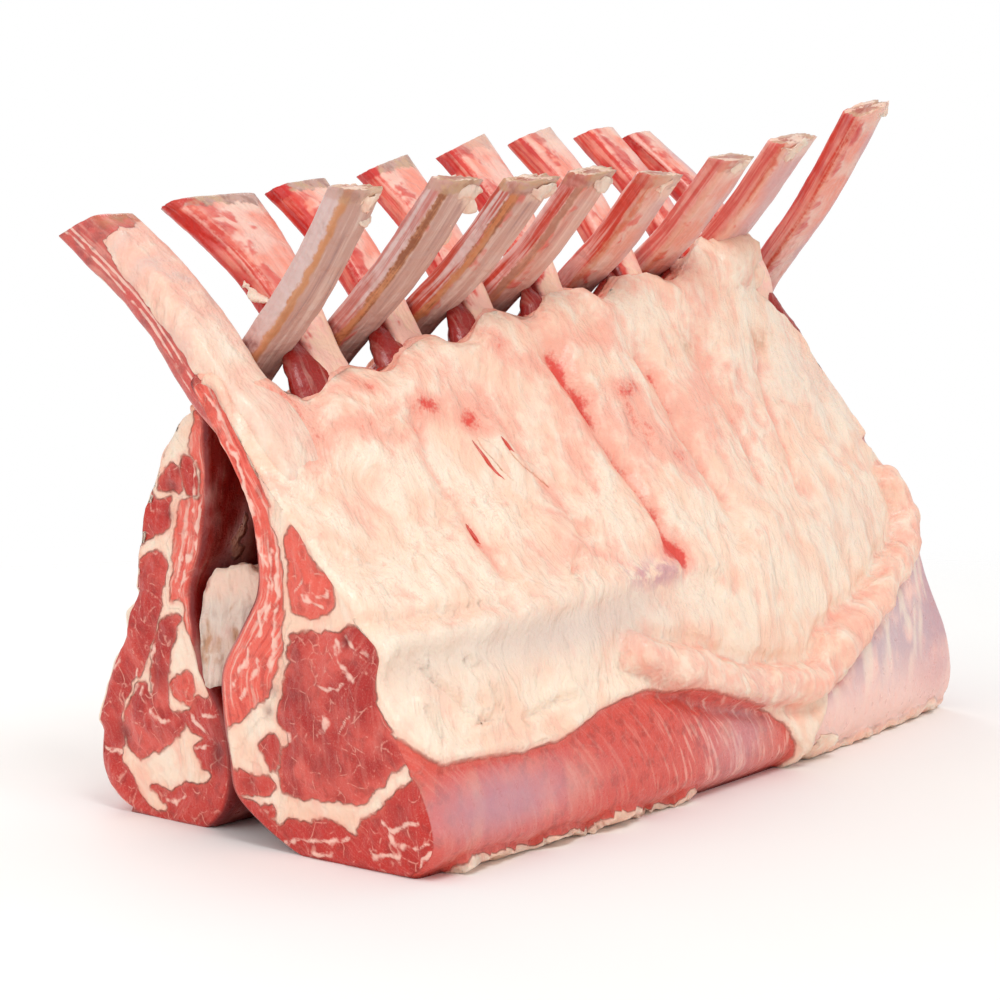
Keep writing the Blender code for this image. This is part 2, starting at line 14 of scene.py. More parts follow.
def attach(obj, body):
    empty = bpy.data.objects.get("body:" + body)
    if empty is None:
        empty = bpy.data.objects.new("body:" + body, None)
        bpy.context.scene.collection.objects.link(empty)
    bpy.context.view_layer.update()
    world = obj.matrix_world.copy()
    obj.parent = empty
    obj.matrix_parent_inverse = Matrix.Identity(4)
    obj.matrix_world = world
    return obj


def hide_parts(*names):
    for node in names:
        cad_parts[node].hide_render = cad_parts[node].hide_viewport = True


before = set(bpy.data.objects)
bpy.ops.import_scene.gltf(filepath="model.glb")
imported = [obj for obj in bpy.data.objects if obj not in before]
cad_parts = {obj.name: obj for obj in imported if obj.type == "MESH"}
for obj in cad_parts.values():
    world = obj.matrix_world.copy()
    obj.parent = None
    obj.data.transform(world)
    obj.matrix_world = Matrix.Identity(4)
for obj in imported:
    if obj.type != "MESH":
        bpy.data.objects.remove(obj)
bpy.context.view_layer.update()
print("frame loaded")

racksOrigin = Vector((123.6, -4.7, 0))


# Small tools.


def catmullRom(points, at):
    points = np.asarray(points, float)
    last = len(points) - 1
    at = np.asarray(at, float)
    i = np.clip(np.floor(at).astype(int), 0, last - 1)
    f = (at - i).reshape(at.shape + (1,) * (points.ndim - 1))
    p0, p1, p2, p3 = (points[np.clip(i + k, 0, last)] for k in (-1, 0, 1, 2))
    return 0.5 * (
        2 * p1 + (p2 - p0) * f + (2 * p0 - 5 * p1 + 4 * p2 - p3) * f**2 + (3 * p1 - p0 - 3 * p2 + p3) * f**3)


def smoothLoop(points, count):
    ring = np.asarray(points, float)
    wrapped = np.vstack([ring[-1], ring, ring[:2]])
    return catmullRom(wrapped, 1 + np.arange(count) * len(ring) / count)


def smoothLine(points, count):
    return catmullRom(points, np.linspace(0, len(points) - 1, count))


def distanceAlong(path):
    return np.concatenate([[0], np.cumsum(np.linalg.norm(np.diff(path, axis=0), axis=1))])


def bell(distance):
    return np.exp(-np.square(distance))


def ramp(value, low, high):
    t = np.clip((value - low) / (high - low), 0, 1)
    return t * t * (3 - 2 * t)


def lineDistance(points, line):
    # distance of (n, 2) points from an open line
    best = np.full(len(points), 1e9)
    for a, b in zip(np.asarray(line, float), np.asarray(line, float)[1:]):
        step = b - a
        f = np.clip(((points - a) @ step) / max(step @ step, 1e-9), 0, 1)
        best = np.minimum(best, np.hypot(*(points - a - f[:, None] * step).T))
    return best


def insideDistance(points, loop):
    # distance of (n, 2) points from a closed outline, positive inside it
    loop = np.asarray(loop, float)
    away = lineDistance(points, np.vstack([loop, loop[:1]]))
    inside = np.zeros(len(points), bool)
    for (y0, z0), (y1, z1) in zip(loop, np.roll(loop, -1, 0)):
        crosses = (z0 > points[:, 1]) != (z1 > points[:, 1])
        side = y0 + (points[:, 1] - z0) * (y1 - y0) / (z1 - z0 if z1 != z0 else 1e-9)
        inside ^= crosses & (points[:, 0] < side)
    return np.where(inside, away, -away)


def fieldNoise(points, size, seed=0, octaves=3):
    # a smooth random field from about -1 to 1, with features of that size in mm along each axis
    place = np.asarray(points, float) / np.asarray(size, float)
    total, strength = np.zeros(len(place)), 1.0
    for octave in range(octaves):
        cell = np.floor(place).astype(np.int64)
        part = place - cell
        fade = part * part * part * (part * (part * 6 - 15) + 10)
        for corner in itertools.product((0, 1), repeat=3):
            key = (cell + corner) @ np.array([73856093, 19349663, 83492791]) + (seed + octave) * 2654435761
            key = (key ^ (key >> 13)) * 1274126177
            key = key ^ (key >> 16)
            slope = np.stack([(key >> shift & 255) / 127.5 - 1 for shift in (0, 8, 16)], 1)
            weight = np.prod(np.where(corner, fade, 1 - fade), 1)
            total += strength * weight * np.sum(slope * (part - corner), 1)
        place = place * 2.03 + 17.1
        strength *= 0.5
    return total * 1.3


def toMetres(mesh):
    mesh.transform(Matrix.Scale(0.001, 4) @ Matrix.Translation(-racksOrigin))


def addMesh(name, points, faces, finish, marks=None):
    mesh = bpy.data.meshes.new(name)
    mesh.from_pydata([tuple(p) for p in points], [], faces)
    mesh.materials.append(finish)
    for mark, values in (marks or {}).items():
        attribute = mesh.attributes.new(mark, "FLOAT", "POINT")
        attribute.data.foreach_set("value", np.asarray(values, np.float32))
    form = bmesh.new()
    form.from_mesh(mesh)
    bmesh.ops.recalc_face_normals(form, faces=form.faces)
    form.to_mesh(mesh)
    form.free()
    mesh.shade_smooth()
    toMetres(mesh)
    piece = bpy.data.objects.new(name, mesh)
    bpy.context.scene.collection.objects.link(piece)
    return piece


# Node maths.


class Wire:
    # one output socket, so that node maths reads as plain maths
    def __init__(self, board, socket):
        self.board = board
        self.socket = socket

    def maths(self, operation, other=0.0, swap=False):
        values = (other, self) if swap else (self, other)
        return self.board.node("ShaderNodeMath", {"operation": operation}, *values)

    def __add__(self, other):
        return self.maths("ADD", other)

    def __radd__(self, other):
        return self.maths("ADD", other)

    def __sub__(self, other):
        return self.maths("SUBTRACT", other)

    def __rsub__(self, other):
        return self.maths("SUBTRACT", other, swap=True)

    def __mul__(self, other):
        return self.maths("MULTIPLY", other)

    def __rmul__(self, other):
        return self.maths("MULTIPLY", other)

    def __truediv__(self, other):
        return self.maths("DIVIDE", other)

    def __pow__(self, other):
        return self.maths("POWER", other)

    def least(self, other):
        return self.maths("MINIMUM", other)

    def most(self, other):
        return self.maths("MAXIMUM", other)

    def size(self):
        return self.maths("ABSOLUTE")


class Board:
    # a node tree, in which one method adds any node
    def __init__(self, tree):
        self.tree = tree

    def node(self, kind, settings=None, *values, output=0, **named):
        made = self.tree.nodes.new(kind)
        for setting, value in (settings or {}).items():
            setattr(made, setting, value)
        slots = [*enumerate(values), *((name.replace("_", " "), value) for name, value in named.items())]
        for slot, value in slots:
            self.plug(made.inputs[slot], value)
        return Wire(self, made.outputs[output])

    def plug(self, socket, value):
        if isinstance(value, Wire):
            self.tree.links.new(value.socket, socket)
        elif value is not None:
            socket.default_value = value

    def ramp(self, value, low, high, start=0.0, end=1.0):
        return self.node(
            "ShaderNodeMapRange", {"interpolation_type": "SMOOTHSTEP"}, value, low, high, start, end)

    def vector(self, operation, *values, output=0):
        return self.node("ShaderNodeVectorMath", {"operation": operation}, *values, output=output)

    def mix(self, share, first, second):
        made = self.tree.nodes.new("ShaderNodeMix")
        made.data_type = "RGBA"
        for slot, value in ((0, share), (6, first), (7, second)):
            self.plug(made.inputs[slot], value)
        return Wire(self, made.outputs[2])

    def noise(self, place, scale, detail=3.0, roughness=0.55):
        return self.node("ShaderNodeTexNoise", None, place, Scale=scale, Detail=detail, Roughness=roughness)

    def warp(self, place, scale, amount):
        # pushes a place about, so that a pattern on it loses its straight lines
        push = self.node("ShaderNodeTexNoise", None, place, Scale=scale, Detail=0.0, output=1)
        centred = self.vector("SUBTRACT", push, (0.5, 0.5, 0.5))
        return self.vector("ADD", place, self.vector("MULTIPLY", centred, (amount, amount, amount)))

    def cells(self, place, scale):
        # 0 on the walls between rounded cells, and rising to the middle of each
        return self.node("ShaderNodeTexVoronoi", {"feature": "DISTANCE_TO_EDGE"}, Vector=place, Scale=scale)

    def mark(self, name):
        return self.node("ShaderNodeAttribute", {"attribute_name": name}, output=2)


def colour(red, green, blue):
    # a colour as it looks on screen, from 0 to 255, as the shader's linear one
    def linear(value):
        share = value / 255
        return share / 12.92 if share <= 0.04045 else ((share + 0.055) / 1.055) ** 2.4
    return (linear(red), linear(green), linear(blue), 1.0)


def newFinish(name, settings):
    made = bpy.data.materials.new(name)
    made.use_nodes = True
    board = Board(made.node_tree)
    shader = made.node_tree.nodes["Principled BSDF"]
    for slot, value in settings.items():
        shader.inputs[slot].default_value = value
    place = board.vector("MULTIPLY", board.node("ShaderNodeTexCoord", None, output=3), (1000, 1000, 1000))
    return made, board, shader, place


def addBumps(board, shader, *bumps):
    # each bump is (height, its size in mm); one node takes them all, which renders fast
    relief = 0.0
    for height, reach in bumps:
        relief = relief + height * reach
    board.plug(
        shader.inputs["Normal"],
        board.node("ShaderNodeBump", None, Strength=1.0, Distance=0.001, Height=relief))


# The camera, the light and the floor.


view = {
    "place": (-0.4116, -0.2990, 0.0986), "heading": 38.77, "down": 4.07,  # metres and degrees
    "lens": 74.5, "sensor": 36,
}
studio = {
    "world": 0.72, "backdrop": 1.0,
    "lamps": [  # name, place, size, power, all in metres and watts, aimed at the middle of the racks
        ("key", (-0.45, -0.85, 1.3), 0.5, 8.0), ("fill", (-1.1, 0.1, 0.5), 0.7, 2.0),
        ("back", (0.5, 1.0, 1.0), 0.8, 4.0)],
    "middle": (0, 0, 0.07),
    "floor": colour(250, 249, 247), "fade": (260, 620),  # the floor fades out between these, in mm
}


def setStage():
    scene = bpy.context.scene
    camera = bpy.data.objects.new("camera", bpy.data.cameras.new("camera"))
    scene.collection.objects.link(camera)
    camera.location = view["place"]
    turn, down = math.radians(view["heading"]), math.radians(view["down"])
    ahead = Vector((math.cos(turn) * math.cos(down), math.sin(turn) * math.cos(down), -math.sin(down)))
    camera.rotation_mode = "QUATERNION"
    camera.rotation_quaternion = ahead.to_track_quat("-Z", "Y")
    camera.data.lens = view["lens"]
    camera.data.sensor_width = view["sensor"]
    camera.data.clip_start = 0.01
    scene.camera = camera

    for name, place, size, power in studio["lamps"]:
        lamp = bpy.data.objects.new(name, bpy.data.lights.new(name, "AREA"))
        lamp.data.size = size
        lamp.data.energy = power
        lamp.location = place
        lamp.rotation_euler = (Vector(studio["middle"]) - lamp.location).to_track_quat("-Z", "Y").to_euler()
        scene.collection.objects.link(lamp)

    world = bpy.data.worlds.new("studio")
    world.use_nodes = True
    board = Board(world.node_tree)
    seen = board.node("ShaderNodeLightPath", output=0)
    board.plug(
        world.node_tree.nodes["Background"].inputs["Strength"],
        studio["world"] + seen * (studio["backdrop"] - studio["world"]))
    world.node_tree.nodes["Background"].inputs["Color"].default_value = (1, 1, 1, 1)
    scene.world = world
    scene.view_settings.view_transform = "Standard"

    bpy.ops.mesh.primitive_circle_add(vertices=96, radius=4.0, fill_type="NGON")
    floor = bpy.context.object
    floor.name = "floor"
    finish, board, shader, place = newFinish("paper", {"Base Color": studio["floor"], "Roughness": 0.9})
    away = board.vector("LENGTH", place, output=1)
    clear = board.node("ShaderNodeBsdfTransparent")
    faded = board.node("ShaderNodeMixShader", None, board.ramp(away, *studio["fade"]))
    board.tree.links.new(shader.outputs[0], faded.socket.node.inputs[1])
    board.tree.links.new(clear.socket, faded.socket.node.inputs[2])
    board.tree.links.new(faded.socket, board.tree.nodes["Material Output"].inputs[0])
    floor.data.materials.append(finish)


setStage()
print("camera, light and floor set")


# The finish of meat and fat.


meatTones = {
    "strip": colour(238, 100, 82), "stripPale": colour(246, 178, 160), "cap": colour(196, 42, 32),
    "eye": colour(178, 32, 25), "eyePale": colour(218, 84, 72), "deep": colour(120, 8, 6),
    "marbling": colour(242, 170, 152), "seam": colour(255, 208, 190), "edge": colour(236, 118, 98),
    "fat": colour(253, 211, 185), "paleFat": colour(254, 229, 206), "pinkFat": colour(249, 172, 150),
    "redFat": colour(226, 52, 38), "vein": colour(236, 122, 102), "greyFat": colour(224, 202, 190),
    "creamFat": colour(250, 234, 214), "stain": colour(186, 124, 76), "lilacFat": colour(206, 150, 158),
    "skin": colour(208, 180, 184), "pinkSkin": colour(254, 210, 196), "purple": colour(196, 128, 140),
}


def makeMeatFinish():
    made, board, shader, place = newFinish("lamb", {
        "Roughness": 0.42, "Specular IOR Level": 0.34, "Subsurface Weight": 0.12,
        "Subsurface Radius": (1.0, 0.42, 0.28), "Subsurface Scale": 0.003, "Coat Roughness": 0.12})
    tone = meatTones
    fatEdge, seam, lean = board.mark("fatEdge"), board.mark("seam"), board.mark("lean")
    skin, blush, grey, deep = board.mark("skin"), board.mark("blush"), board.mark("grey"), board.mark("deep")
    coarse, medium, fine = (
        board.noise(place, 0.09, 2), board.noise(place, 0.35, 3), board.noise(place, 1.5, 1))
    ragged = board.noise(place, 0.42, 1, 0.4)
    frayed = board.mark("frayed")
    fat = board.ramp(fatEdge + ((ragged - 0.5) * 2.0 + (fine - 0.5) * 0.35) * frayed, -0.3, 0.4)
    line = board.ramp(seam + (ragged - 0.5) * 1.3 + (fine - 0.5) * 0.5, -0.35, 0.35)

    # muscle: grain along its fibres, a net of marbling, and darker places: wet ones, and painted shade on
    # the racks' inner walls
    run = board.node(
        "ShaderNodeCombineXYZ", None, board.mark("grainAcross"), board.mark("grainAlong") * 0.12, lean * 9)
    fibres = board.noise(board.warp(run, 0.12, 2.2), 0.85, 2, 0.6)
    grain = board.noise(place, 2.6, 1, 0.7)
    net = board.cells(board.warp(place, 0.22, 5.0), 0.2)
    streaky = board.mark("streaky")
    muscle = board.mix(board.ramp(lean, 0.0, 0.5), tone["strip"], tone["cap"])
    muscle = board.mix(
        board.ramp(lean, 0.55, 1.0), muscle,
        board.mix(board.ramp(coarse, 0.4, 0.62), tone["eye"], tone["eyePale"]))
    muscle = board.mix(board.ramp(fibres, 0.50, 0.68) * streaky, muscle, tone["stripPale"])
    muscle = board.mix(board.ramp(fibres, 0.46, 0.30) * streaky * 0.6, muscle, tone["cap"])
    muscle = board.mix(board.ramp(medium, 0.48, 0.7) * 0.35, muscle, tone["deep"])
    muscle = board.mix(board.ramp(grain, 0.5, 0.75) * 0.16, muscle, tone["marbling"])
    veins = board.ramp(net, 0.05, 0.0) * board.ramp(medium + (fine - 0.5) * 0.5, 0.44, 0.66)
    muscle = board.mix(veins * board.mark("specks") * 0.75, muscle, tone["marbling"])
    muscle = board.mix(board.ramp(fatEdge, -1.1, 0.0) * 0.3, muscle, tone["edge"])
    muscle = board.mix(line * 0.85, muscle, tone["seam"])
    # the deep mark: dark wet places, and painted shade on the racks' inner walls and along the far face's
    # inner edge
    muscle = board.mix(deep, muscle, tone["deep"])

    # silverskin over muscle: a thin grey and purple film with pale lines across it
    across = board.noise(board.vector("MULTIPLY", board.warp(place, 0.05, 9.0), (0.2, 0.2, 0.03)), 1.0, 1)
    film = board.mix(board.ramp(coarse, 0.46, 0.72), tone["skin"], tone["pinkSkin"])
    film = board.mix(board.ramp(across, 0.48, 0.66) * 0.7, film, tone["creamFat"])
    film = board.mix(board.mark("pinkish"), film, tone["pinkSkin"])
    film = board.mix(board.mark("purple"), film, tone["purple"])
    muscle = board.mix(skin * board.ramp(medium, 0.2, 0.6, 0.88, 1.0), muscle, film)

    # fat: soft folds that run up the rack, painted paler on their crests as highlight and pinker in their
    # hollows as shade, blood under the surface and dried places
    upwards = board.vector("MULTIPLY", board.warp(place, 0.07, 9.0), (0.24, 0.24, 0.075))
    folds = board.noise(upwards, 1.0, 3, 0.5)
    pale = board.mix(board.ramp(coarse, 0.38, 0.62), tone["fat"], tone["paleFat"])
    # the same folds as the bump: creamier on their crests is painted highlight, pinker in their hollows is
    # painted shade
    pale = board.mix(board.ramp(folds, 0.52, 0.7) * 0.6, pale, tone["creamFat"])
    pale = board.mix(board.ramp(folds, 0.46, 0.3) * 0.35, pale, tone["pinkFat"])
    lobed = board.mark("lobed")
    thin = (
        board.ramp((medium - 0.5).size(), 0.025, 0.0) * board.ramp(coarse + (fine - 0.5) * 0.3, 0.46, 0.6))
    # blood under the surface, and pinker where the folds sink, which is painted shade
    soakedAndFoldShade = blush + (coarse - 0.5) * 0.8 + (medium - 0.5) * 0.8 + (0.5 - folds) * 0.9
    pale = board.mix(board.ramp(soakedAndFoldShade, 0.12, 0.85) * 0.8, pale, tone["pinkFat"])
    pale = board.mix(thin * lobed * 0.2, pale, tone["vein"])
    pale = board.mix(board.ramp(soakedAndFoldShade + (fine - 0.5) * 0.5, 0.85, 1.4) * 0.9, pale, tone["redFat"])
    pale = board.mix(board.ramp(fatEdge, 1.3, 0.1) * 0.45, pale, tone["pinkFat"])
    pale = board.mix(board.mark("cream"), pale, tone["creamFat"])
    # greyer where the grey mark says: grey film and greyer places, and painted shade under the ridge of the
    # outer sides
    pale = board.mix(grey, pale, tone["greyFat"])
    pale = board.mix(board.mark("purple") * board.ramp(medium, 0.35, 0.6), pale, tone["lilacFat"])
    pale = board.mix(deep, pale, tone["deep"])
    everything = board.mix(fat, muscle, pale)
    stain = board.mark("stain") * board.ramp(medium, 0.3, 0.6)
    everything = board.mix(stain * 0.8, everything, tone["stain"])
    board.plug(shader.inputs["Base Color"], everything)
    board.plug(shader.inputs["Roughness"], board.ramp(medium, 0.3, 0.7, 0.26, 0.46) + fat * 0.06)
    board.plug(shader.inputs["Coat Weight"], 0.22)

    wrinkles = board.noise(board.vector("MULTIPLY", place, (0.5, 0.5, 0.22)), 1.0, 2, 0.55)
    addBumps(
        board, shader, (folds * fat, 1.65), (wrinkles * (0.3 + fat * 0.4), 0.6), (fibres * streaky, 0.22),
        (medium * (1 - fat), 0.3), (fine, 0.1), (grain, 0.05))
    return made


meatFinish = makeMeatFinish()


# The racks' shape, as in the solids.


nearSections = [
    [((-20, 0), (-54, 0)), ((-11, 5), (-59.5, 5)), ((-4.5, 10.5), (-60.5, 11)), ((-4, 18), (-58.5, 18)),
     ((-3.6, 27), (-54, 26)), ((-5, 36), (-50.5, 36)), ((-11.5, 44.5), (-49.5, 44.5)),
     ((-17, 52), (-44, 51.5)), ((-18.3, 60), (-37.5, 58.5)), ((-17.5, 69), (-30.5, 66.5)),
     ((-14, 77.5), (-24.5, 75)), ((-9.5, 85), (-18.5, 83.5)), ((-5, 92), (-13, 92)),
     ((-0.5, 98), (-7.5, 99))],
    [((-16, 0), (-52, 0)), ((-8, 6), (-57, 5)), ((-3, 13), (-58, 12)), ((-2.5, 22), (-57.5, 20)),
     ((-3, 32), (-56, 30)), ((-5, 42), (-54, 41)), ((-10, 52), (-51, 51)),
     ((-15, 61), (-46.5, 60)), ((-17.5, 70), (-40.5, 69)), ((-17.5, 80), (-34, 79)),
     ((-15.5, 91), (-28, 90)), ((-12, 102), (-22, 101.5)), ((-7, 113), (-16.5, 113)),
     ((-1.5, 124), (-10, 125))],
    [((-14, 0), (-40, 0)), ((-7, 5), (-45, 5)), ((-3, 12), (-47, 12)), ((-2.5, 21), (-47, 21)),
     ((-3, 31), (-46, 31)), ((-5, 41), (-44, 41.5)), ((-9, 51), (-41, 51.5)),
     ((-13, 60), (-37.5, 61)), ((-15.5, 70), (-34, 70.5)), ((-16.5, 80), (-30, 80)),
     ((-15.5, 91), (-25.5, 91)), ((-12.5, 103), (-20.5, 103)), ((-8, 116), (-15.5, 116)),
     ((-3, 130), (-10.5, 131))],
]
farSections = [
    [((8, 0), (36, 0)), ((3, 5), (42.5, 4.5)), ((0.5, 11), (44.6, 11)), ((0, 18), (43, 18)),
     ((1.5, 26), (39.7, 26)), ((5.5, 34), (34.5, 34)), ((6.5, 43), (28.8, 42)),
     ((5.5, 51), (25.2, 50.5)), ((1.5, 58.5), (23, 58.5)), ((-1, 66), (20, 67)),
     ((-2.5, 74), (14, 75)), ((-3.5, 82), (8, 82.5)), ((-5, 90), (1.5, 90)), ((-8, 97), (-3.5, 97))],
    [((10, 0), (44, 0)), ((5, 6), (49, 5)), ((2, 13), (51, 12)), ((1.5, 22), (51, 20)),
     ((3, 32), (49.5, 30)), ((5.5, 41), (46.5, 40)), ((8, 50), (42, 49.5)),
     ((8, 59), (36.5, 58.5)), ((7, 68), (30.5, 67.5)), ((6, 77), (24.5, 77)),
     ((4, 86), (18.5, 86)), ((1.5, 96), (13, 96)), ((-2, 106), (7, 106)), ((-6, 115), (1, 115))],
    [((10, 0), (38, 0)), ((5, 6), (43, 5)), ((2, 13), (45, 12)), ((1.5, 22), (45, 21)),
     ((3, 32), (44, 31)), ((5.5, 42), (41.5, 42)), ((8, 52), (38, 52)),
     ((8, 61), (33.5, 61.5)), ((7, 70), (29, 71)), ((6, 80), (24, 81)),
     ((4, 91), (19.5, 92)), ((1.5, 102), (15, 103)), ((-1, 113), (10, 114)), ((-4, 124), (5, 125))],
]
racks = {
    "near": {
        "sections": nearSections, "start": 0, "length": 235, "slants": (0.14, 0.33),
        "trim": [87, 100, 112, 117.5, 109], "capEdge": [20.5, 21.5, 25, 27, 19, 8, 6, 6, 6]},
    "far": {
        "sections": farSections, "start": 5, "length": 257, "slants": (0.14, 0.24),
        "trim": [88, 98, 105, 110, 108], "capEdge": [18.5, 20, 20, 19, 18]},
}
edgeShape = {
    "valleyDepth": 4.0, "valleyWidth": 6.0, "cornerAbove": 80, "cornerAmount": 0.012,
    "lumpX": 160, "lumpHeight": 13, "lumpWidth": 15, "rounding": 3.2,
    "rootRise": 7, "rootReach": (-14, 8),  # how far the edge climbs the nearest rib, and over which x
}
ribs = {
    # from the near end: where they leave the meat, the middles of the tips, widths at both places,
    # thickness, slope of the tip's face along x, and how far they arch outwards and upwards
    "near": {
        "leaves": [(-4.8, -8.5, 91), (19.4, -9.5, 96), (44.1, -10, 100), (67.9, -10.5, 106),
            (92.6, -11, 111), (125.5, -11.5, 114), (153.3, -12, 116), (179.5, -12, 120)],
        "tips": [(-8.4, 26.5, 124.5), (20.8, 24, 131), (46, 23, 135.6), (73.5, 22, 142),
            (101, 21, 148.7), (126.5, 20, 153), (152.5, 19, 155.8), (168.5, 18, 156)],
        "widths": [14, 11.5, 11, 11, 11, 11, 10.3, 10.5],
        "tipWidths": [13, 28, 18.5, 18.5, 19, 17, 14, 12],
        "thickness": [11] + [6.5] * 7,
        "slopes": [-0.12, -0.16, -0.22, -0.36, -0.4, -0.33, -0.2, -0.2],
        "bows": [0.05] * 8,
        "tilt": 0.35,
        "lowLevel": 6.3,
        "rise": 0.02,
        "belly": 0.0,
    },
    "far": {
        "leaves": [(7, -1, 93), (31.5, 0, 97), (55.8, 1, 101), (82, 2, 105),
            (115, 3, 109), (143, 3.5, 112), (168.6, 4, 114), (211, 5, 116)],
        "tips": [(7.5, -31, 130.5), (36.5, -32, 134), (59.8, -33, 135.5), (81.5, -33, 138.5),
            (106, -34, 139.5), (133.2, -36, 145), (156, -39, 151), (187, -42, 161)],
        "widths": [9.9, 9.6, 9.6, 10.5, 10.5, 10.5, 10, 10.5],
        "tipWidths": [10, 10, 11, 9.5, 10, 10, 12, 11],
        "thickness": [6.2] * 8,
        "slopes": [-0.1, -0.1, -0.2, -0.25, -0.1, -0.2, -0.3, -0.5],
        "bows": [-0.05, -0.05, -0.05, -0.05, -0.04, -0.04, -0.04, -0.03],
        "tilt": -0.2,
        "lowLevel": 8.3,
        "rise": 0.01,
        "belly": 0.06,
    },
}


class Rack:
    # along it (0 to 1), level (0 at the table), depth (0 at the inner face, 1 at the outer one)
    def __init__(self, name, sections, start, length, slants, trim, capEdge):
        self.name = name
        self.start = start
        self.length = length
        self.slants = slants
        self.trim = trim
        self.capEdge = capEdge
        self.sections = np.array(sections, float)
        self.side = -1 if name == "near" else 1
        self.levels = self.sections.shape[1] - 1
        bases = [leaves[0] for leaves in ribs[name]["leaves"]]
        self.valleys = [(one + two) / 2 for one, two in zip(bases, bases[1:])]

    def flat(self, along, level, depth):
        along, level, depth = np.broadcast_arrays(*(np.asarray(v, float) for v in (along, level, depth)))
        shares = [(1 - along) * (1 - 2 * along), 4 * along * (1 - along), along * (2 * along - 1)]
        inner, outer = (
            sum(share[:, None] * catmullRom(rows[:, which], level) for share,
                rows in zip(shares, self.sections))
            for which in (0, 1))
        return inner + (outer - inner) * depth[:, None]

    def point(self, along, level, depth):
        yz = self.flat(along, level, depth)
        slant = self.slants[0] + (self.slants[1] - self.slants[0]) * np.asarray(along, float)
        high = np.maximum(0, yz[:, 1] - edgeShape["cornerAbove"])
        x = self.start + self.length * along - slant * yz[:, 1]
        x = x - edgeShape["cornerAmount"] * high**2 * np.maximum(0, along) ** 8
        return np.column_stack([x, yz])

    def alongAt(self, x, level):
        along = (x - self.start) / self.length
        for _ in range(6):
            along += (x - self.point(along, [level], [0])[0, 0]) / self.length
        return along

    def levelAt(self, along, height, depth):
        levels = np.linspace(0, self.levels, 8 * self.levels + 1)
        return float(np.interp(height, self.flat(along, levels, depth)[:, 1], levels))

    def trimLevel(self, along):
        # the trimmed edge dips between the ribs and rises over the lump
        spread = catmullRom(self.trim, np.array([np.clip(along, 0, 1) * (len(self.trim) - 1)]))[0]
        height = spread
        for _ in range(2):
            x = self.point(along, [self.levelAt(along, height, 1)], [1])[0, 0]
            dips = sum(bell((x - valley) / edgeShape["valleyWidth"]) for valley in self.valleys)
            height = spread - edgeShape["valleyDepth"] * dips
            if self.name == "near":
                height += edgeShape["lumpHeight"] * bell((x - edgeShape["lumpX"]) / edgeShape["lumpWidth"])
                height += edgeShape["rootRise"] * ramp(-x, *edgeShape["rootReach"])
        return self.levelAt(along, height, 1)


# What the cut faces show, as outlines (y, z) on the near end.


nearFace = {
    "eye": [(-40.3, 47), (-33.8, 45.8), (-27.2, 44.9), (-24.6, 41), (-22.8, 35.3), (-20.1, 29.5),
            (-19.6, 27), (-22.3, 24.5), (-20.5, 21.6), (-18.4, 15.8), (-19.3, 12.4), (-25.5, 11.8),
            (-33.8, 12.6), (-40.1, 12.9), (-44.7, 16.6), (-48.8, 20.1), (-52.2, 22), (-53.8, 24.3),
            (-51.7, 27), (-48.4, 29.8), (-47.6, 35), (-48.2, 42), (-46.4, 46.5), (-43.5, 48.6)],
    "blade": [(-29.5, 66), (-33.7, 59.6), (-38.2, 55.9), (-38.1, 51.4), (-33.7, 48.5), (-27.5, 49.4),
              (-26.7, 53), (-27.2, 57), (-26.6, 62)],
    "strip": [(-4.7, 23.7), (-9.3, 25.8), (-13, 28.7), (-17.6, 31.6), (-20.1, 35.5), (-22.8, 41.2),
              (-24.6, 49.5), (-25.6, 57), (-25.4, 63), (-23.4, 67), (-23.4, 72), (-21.6, 77.6), (-18.6, 81),
              (-16.6, 85.3), (-12, 92), (-7, 99), (3, 99), (-6, 84), (-11, 74), (-13, 60), (-10, 45),
              (0, 35), (2, 26), (0, 20)],
    "small": [(-19.2, 24.6), (-15, 22.8), (-13.6, 20.8), (-15.1, 18.3), (-15.9, 16.4), (-18, 17),
              (-19.4, 20.3)],
    "lobes": [(-17.3, 13.2), (-15, 15.4), (-11, 14.6), (-8, 15.6), (-3.5, 14.8), (-1.5, 12), (-6, 10.2),
              (-12, 10.6)],
    "cap": [(-10.9, 9.6), (-15.9, 5.6), (-18, 5.4), (-20.1, 7.4), (-22.2, 7), (-25.5, 7), (-28, 8.4),
            (-31, 8.8), (-33.8, 8), (-37.2, 6.3), (-38.8, 7.6), (-40.1, 9.9), (-44.7, 12), (-46.3, 14.2),
            (-49.3, 16.3), (-51.8, 18), (-54.3, 19.4), (-58, 20.5), (-66, 22), (-68, 6), (-60, -6),
            (-14, -6), (4, 2), (4, 8)],
    "island": [(-16.4, 8.8), (-14, 9.3), (-12.4, 7.8), (-13.4, 6.3), (-15.8, 6.6)],
    "corner": [(-54.6, 20.4), (-54.4, 23.4), (-56.5, 25.4), (-62, 26), (-62, 20.4)],
}
